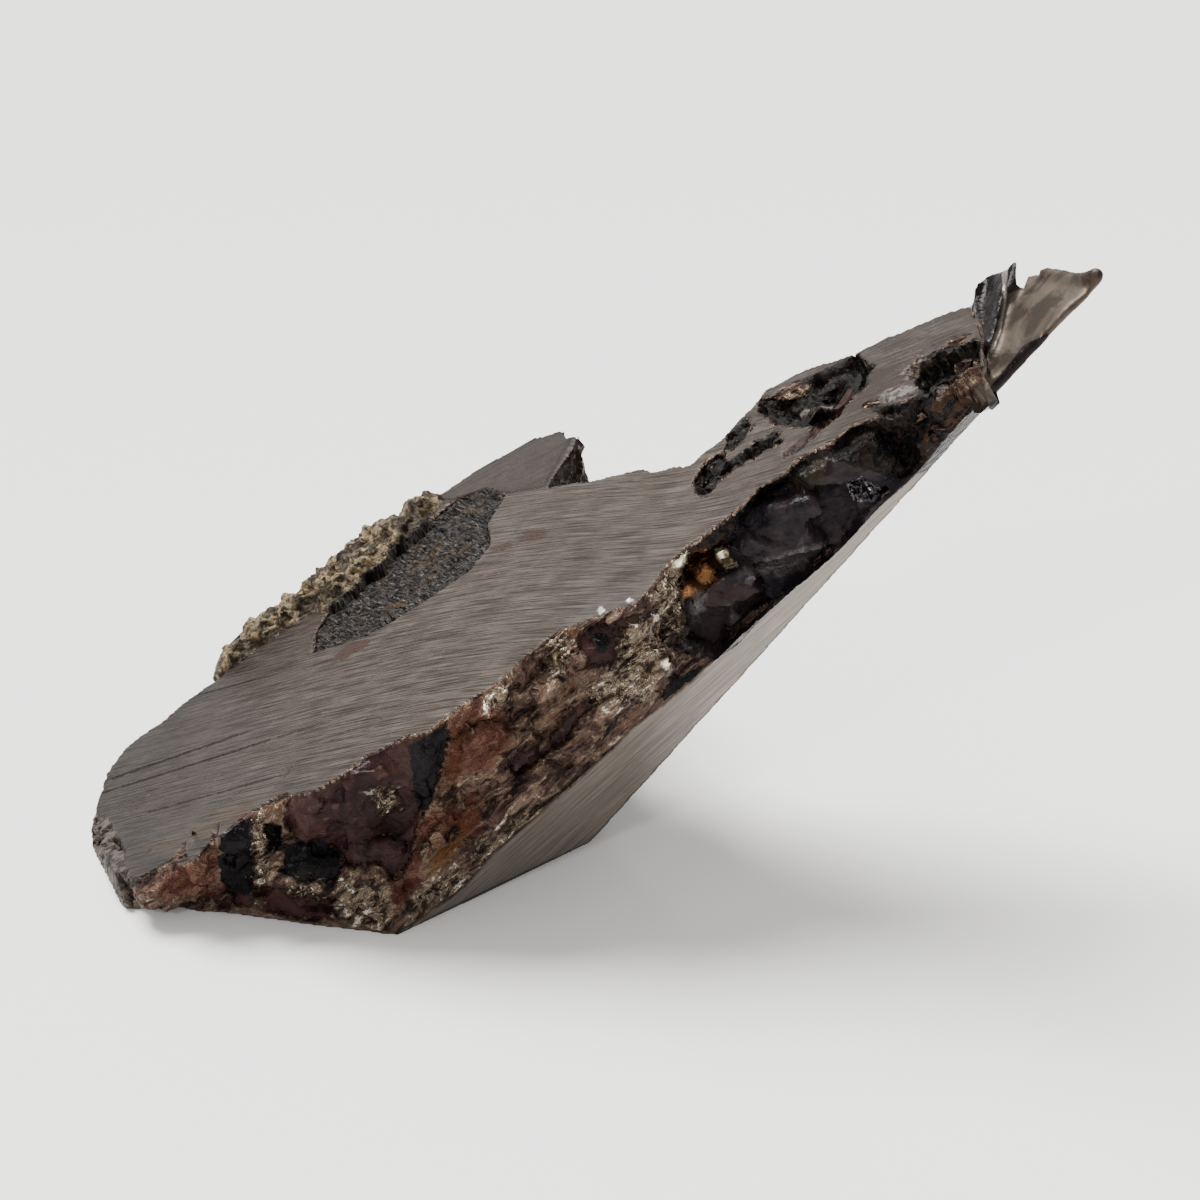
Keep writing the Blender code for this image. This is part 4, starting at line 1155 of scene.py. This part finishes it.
def top_skin(tree, fields):
    """The sawn faces with their grooves and stains."""
    skin = sawn_skin(tree, fields)
    if "made_flat" in fields:
        for start, end, width in GROOVES:
            deep = groove(tree, start, end, width)
            bottom = plain_skin(tree, (0.012, 0.007, 0.005), 0.0, 0.6, 0.0)
            skin.over(tree.math("MULTIPLY", deep, 0.92), bottom)
            skin.height = tree.math("MULTIPLY_ADD", deep, -0.10, skin.height)
    if "block" in fields:
        worn = tree.math("MULTIPLY", tree.crisp("block"), tree.ramp(tree.spot, 0.44, 0.60, 0.25, 0.80))
        skin.tint(worn, (0.022, 0.014, 0.010))
        edge = tree.ramp(tree.math("ABSOLUTE", tree.attribute("block")), 0.14, 0.02, 0.0, 0.8)
        skin.tint(edge, (0.020, 0.013, 0.010))
    if "spot" in fields:
        skin.tint(tree.math("MULTIPLY", tree.crisp("spot"), 0.8), (0.038, 0.017, 0.010))
    if "ochre" in fields:
        skin.tint(tree.math("MULTIPLY", tree.crisp("ochre", 0.30, 1.2), 0.22), (0.095, 0.060, 0.030))
    # Painted sheen: a lighter tint along the lip.
    if "lip_sheen" in fields:
        skin.tint(tree.math("MULTIPLY", tree.crisp("lip_sheen", 0.30, 0.9), 0.30), (0.135, 0.128, 0.120))
    if "stained" in fields:
        skin.tint(tree.math("MULTIPLY", tree.crisp("stained", 0.08, 0.7), 0.7), (0.024, 0.015, 0.011))
    if "strip" in fields:
        skin.over(tree.attribute("strip"), strip_skin(tree))
        # Painted shade: a dark line along the strip's outer edges.
        skin.tint(tree.ramp(tree.attribute("brink_shade"), 0.30, 0.75, 0.0, 0.9), (0.020, 0.012, 0.008))
    return skin


def pallasite(name, fields):
    """A piece's look. The fields on it say which kind of surface is where."""
    tree = Tree(name)
    tree.share_noises()
    skin = wall_skin(tree, fields)
    if "rim" in fields:
        skin.over(tree.crisp("rim"), rim_skin(tree))
    if "sawn" in fields:
        skin.over(tree.ramp(tree.attribute("sawn"), 0.4, 0.6), top_skin(tree, fields))
    if "torn" in fields:
        skin.over(tree.ramp(tree.attribute("torn"), 0.4, 0.6), torn_skin(tree))
    # The scoop's dark gloss; on its lower crescent the dark is partly painted shade.
    if "scoop" in fields:
        dark = glassy_skin(tree, (0.0055, 0.004, 0.0045), (0.012, 0.008, 0.008), (0.03, 0.02, 0.018), 0.5)
        skin.over(tree.crisp("scoop", 0.04, 0.08), dark)
    if "lip" in fields:
        skin.over(tree.crisp("lip", 0.05, 0.1), plain_skin(tree, (0.20, 0.175, 0.155), 0.8, 0.36))
    if "grit" in fields:
        skin.over(tree.crisp("grit", 0.04, 0.2, 0.08), grit_skin(tree))
    # Painted shade: the hollows are painted near black for their depth.
    if "hollow" in fields:
        skin.over(tree.crisp("hollow", 0.05, 0.35, 0.03), rough_skin(tree, (0.0012, 0.001, 0.001), (0.011, 0.0075, 0.006)))
    if "side" in fields:
        sawn = tree.ramp(tree.attribute("sawn"), 0.6, 0.4)
        dark = rough_skin(tree, (0.005, 0.004, 0.0035), (0.030, 0.023, 0.019))
        skin.over(tree.math("MULTIPLY", tree.crisp("side", 0.05, 0.1), sawn), dark)
    if "pitted" in fields:
        skin.over(tree.crisp("pitted", 0.06, 0.6, 0.06), rough_skin(tree, (0.010, 0.007, 0.006), (0.075, 0.058, 0.048)))
    if "ridge" in fields:
        skin.over(tree.crisp("ridge", 0.08, 0.6), rough_skin(tree, (0.020, 0.013, 0.010), (0.120, 0.098, 0.080)))
    if "brown" in fields:
        shades = ((0.016, 0.008, 0.005), (0.040, 0.021, 0.012), (0.12, 0.07, 0.04))
        skin.over(tree.crisp("brown", 0.05, 0.2), glassy_skin(tree, *shades))
    # Painted shade: the cracks are darkened.
    if "crack" in fields:
        skin.over(tree.crisp("crack", 0.03, 0.12), plain_skin(tree, (0.022, 0.010, 0.007), 0.0, 0.5))
    # Painted highlights: small bright points on the lip.
    if "point" in fields:
        skin.over(tree.crisp("point", 0.05, 0.2), plain_skin(tree, (0.95, 0.90, 0.84), 1.0, 0.25, 0.1))
    if "flake" in fields:
        skin.over(tree.crisp("flake", 0.10, 0.45), rough_skin(tree, (0.028, 0.021, 0.018), (0.135, 0.118, 0.108)))
    return skin.material(0.07)


# Floor, light and camera.

def build_floor():
    mesh = bpy.data.meshes.new("floor")
    half = 1.5
    corners = [(-half, -half, 0), (half, -half, 0), (half, half, 0), (-half, half, 0)]
    mesh.from_pydata(corners, [], [(0, 1, 2, 3)])
    floor = bpy.data.objects.new("floor", mesh)
    bpy.context.scene.collection.objects.link(floor)
    material = bpy.data.materials.new("floor")
    material.use_nodes = True
    shader = material.node_tree.nodes["Principled BSDF"]
    shader.inputs["Base Color"].default_value = (0.92, 0.915, 0.905, 1)
    shader.inputs["Roughness"].default_value = 0.14
    shader.inputs["Specular IOR Level"].default_value = 0.25
    shader.inputs["Emission Color"].default_value = (1.0, 0.995, 0.985, 1)
    shader.inputs["Emission Strength"].default_value = 0.06
    mesh.materials.append(material)


def aim(obj, direction):
    obj.rotation_mode = "QUATERNION"
    obj.rotation_quaternion = direction.to_track_quat("-Z", "Y")


def add_sun(name, direction, strength, spread, colour):
    lamp = bpy.data.lights.new(name, "SUN")
    lamp.energy = strength
    lamp.angle = math.radians(spread)
    lamp.color = colour
    obj = bpy.data.objects.new(name, lamp)
    bpy.context.scene.collection.objects.link(obj)
    aim(obj, Vector(direction))


def build_light():
    world = bpy.data.worlds.new("studio")
    world.use_nodes = True
    back = world.node_tree.nodes["Background"]
    back.inputs["Color"].default_value = (1.0, 0.995, 0.985, 1)
    back.inputs["Strength"].default_value = 0.72
    bpy.context.scene.world = world
    add_sun("key", (0.34, -0.42, -0.84), 8.8, 38.0, (1.0, 0.99, 0.97))
    add_sun("spark", (0.35, 0.75, -0.55), 0.7, 3.0, (1.0, 0.97, 0.92))


def build_camera():
    eye, forward, _, _ = sight()
    camera = bpy.data.cameras.new("camera")
    camera.sensor_width = SENSOR
    camera.lens = LENS
    camera.clip_start = 0.001
    obj = bpy.data.objects.new("camera", camera)
    bpy.context.scene.collection.objects.link(obj)
    obj.location = Vector((eye - PLAN_CENTRE) * MM)
    aim(obj, Vector(forward))
    bpy.context.scene.camera = obj


def build():
    build_camera()
    build_floor()
    build_light()
    body = build_body()
    add_masks(body.data)
    crystal_pieces(body)
    finish_piece(body, "metal_slice")


build()
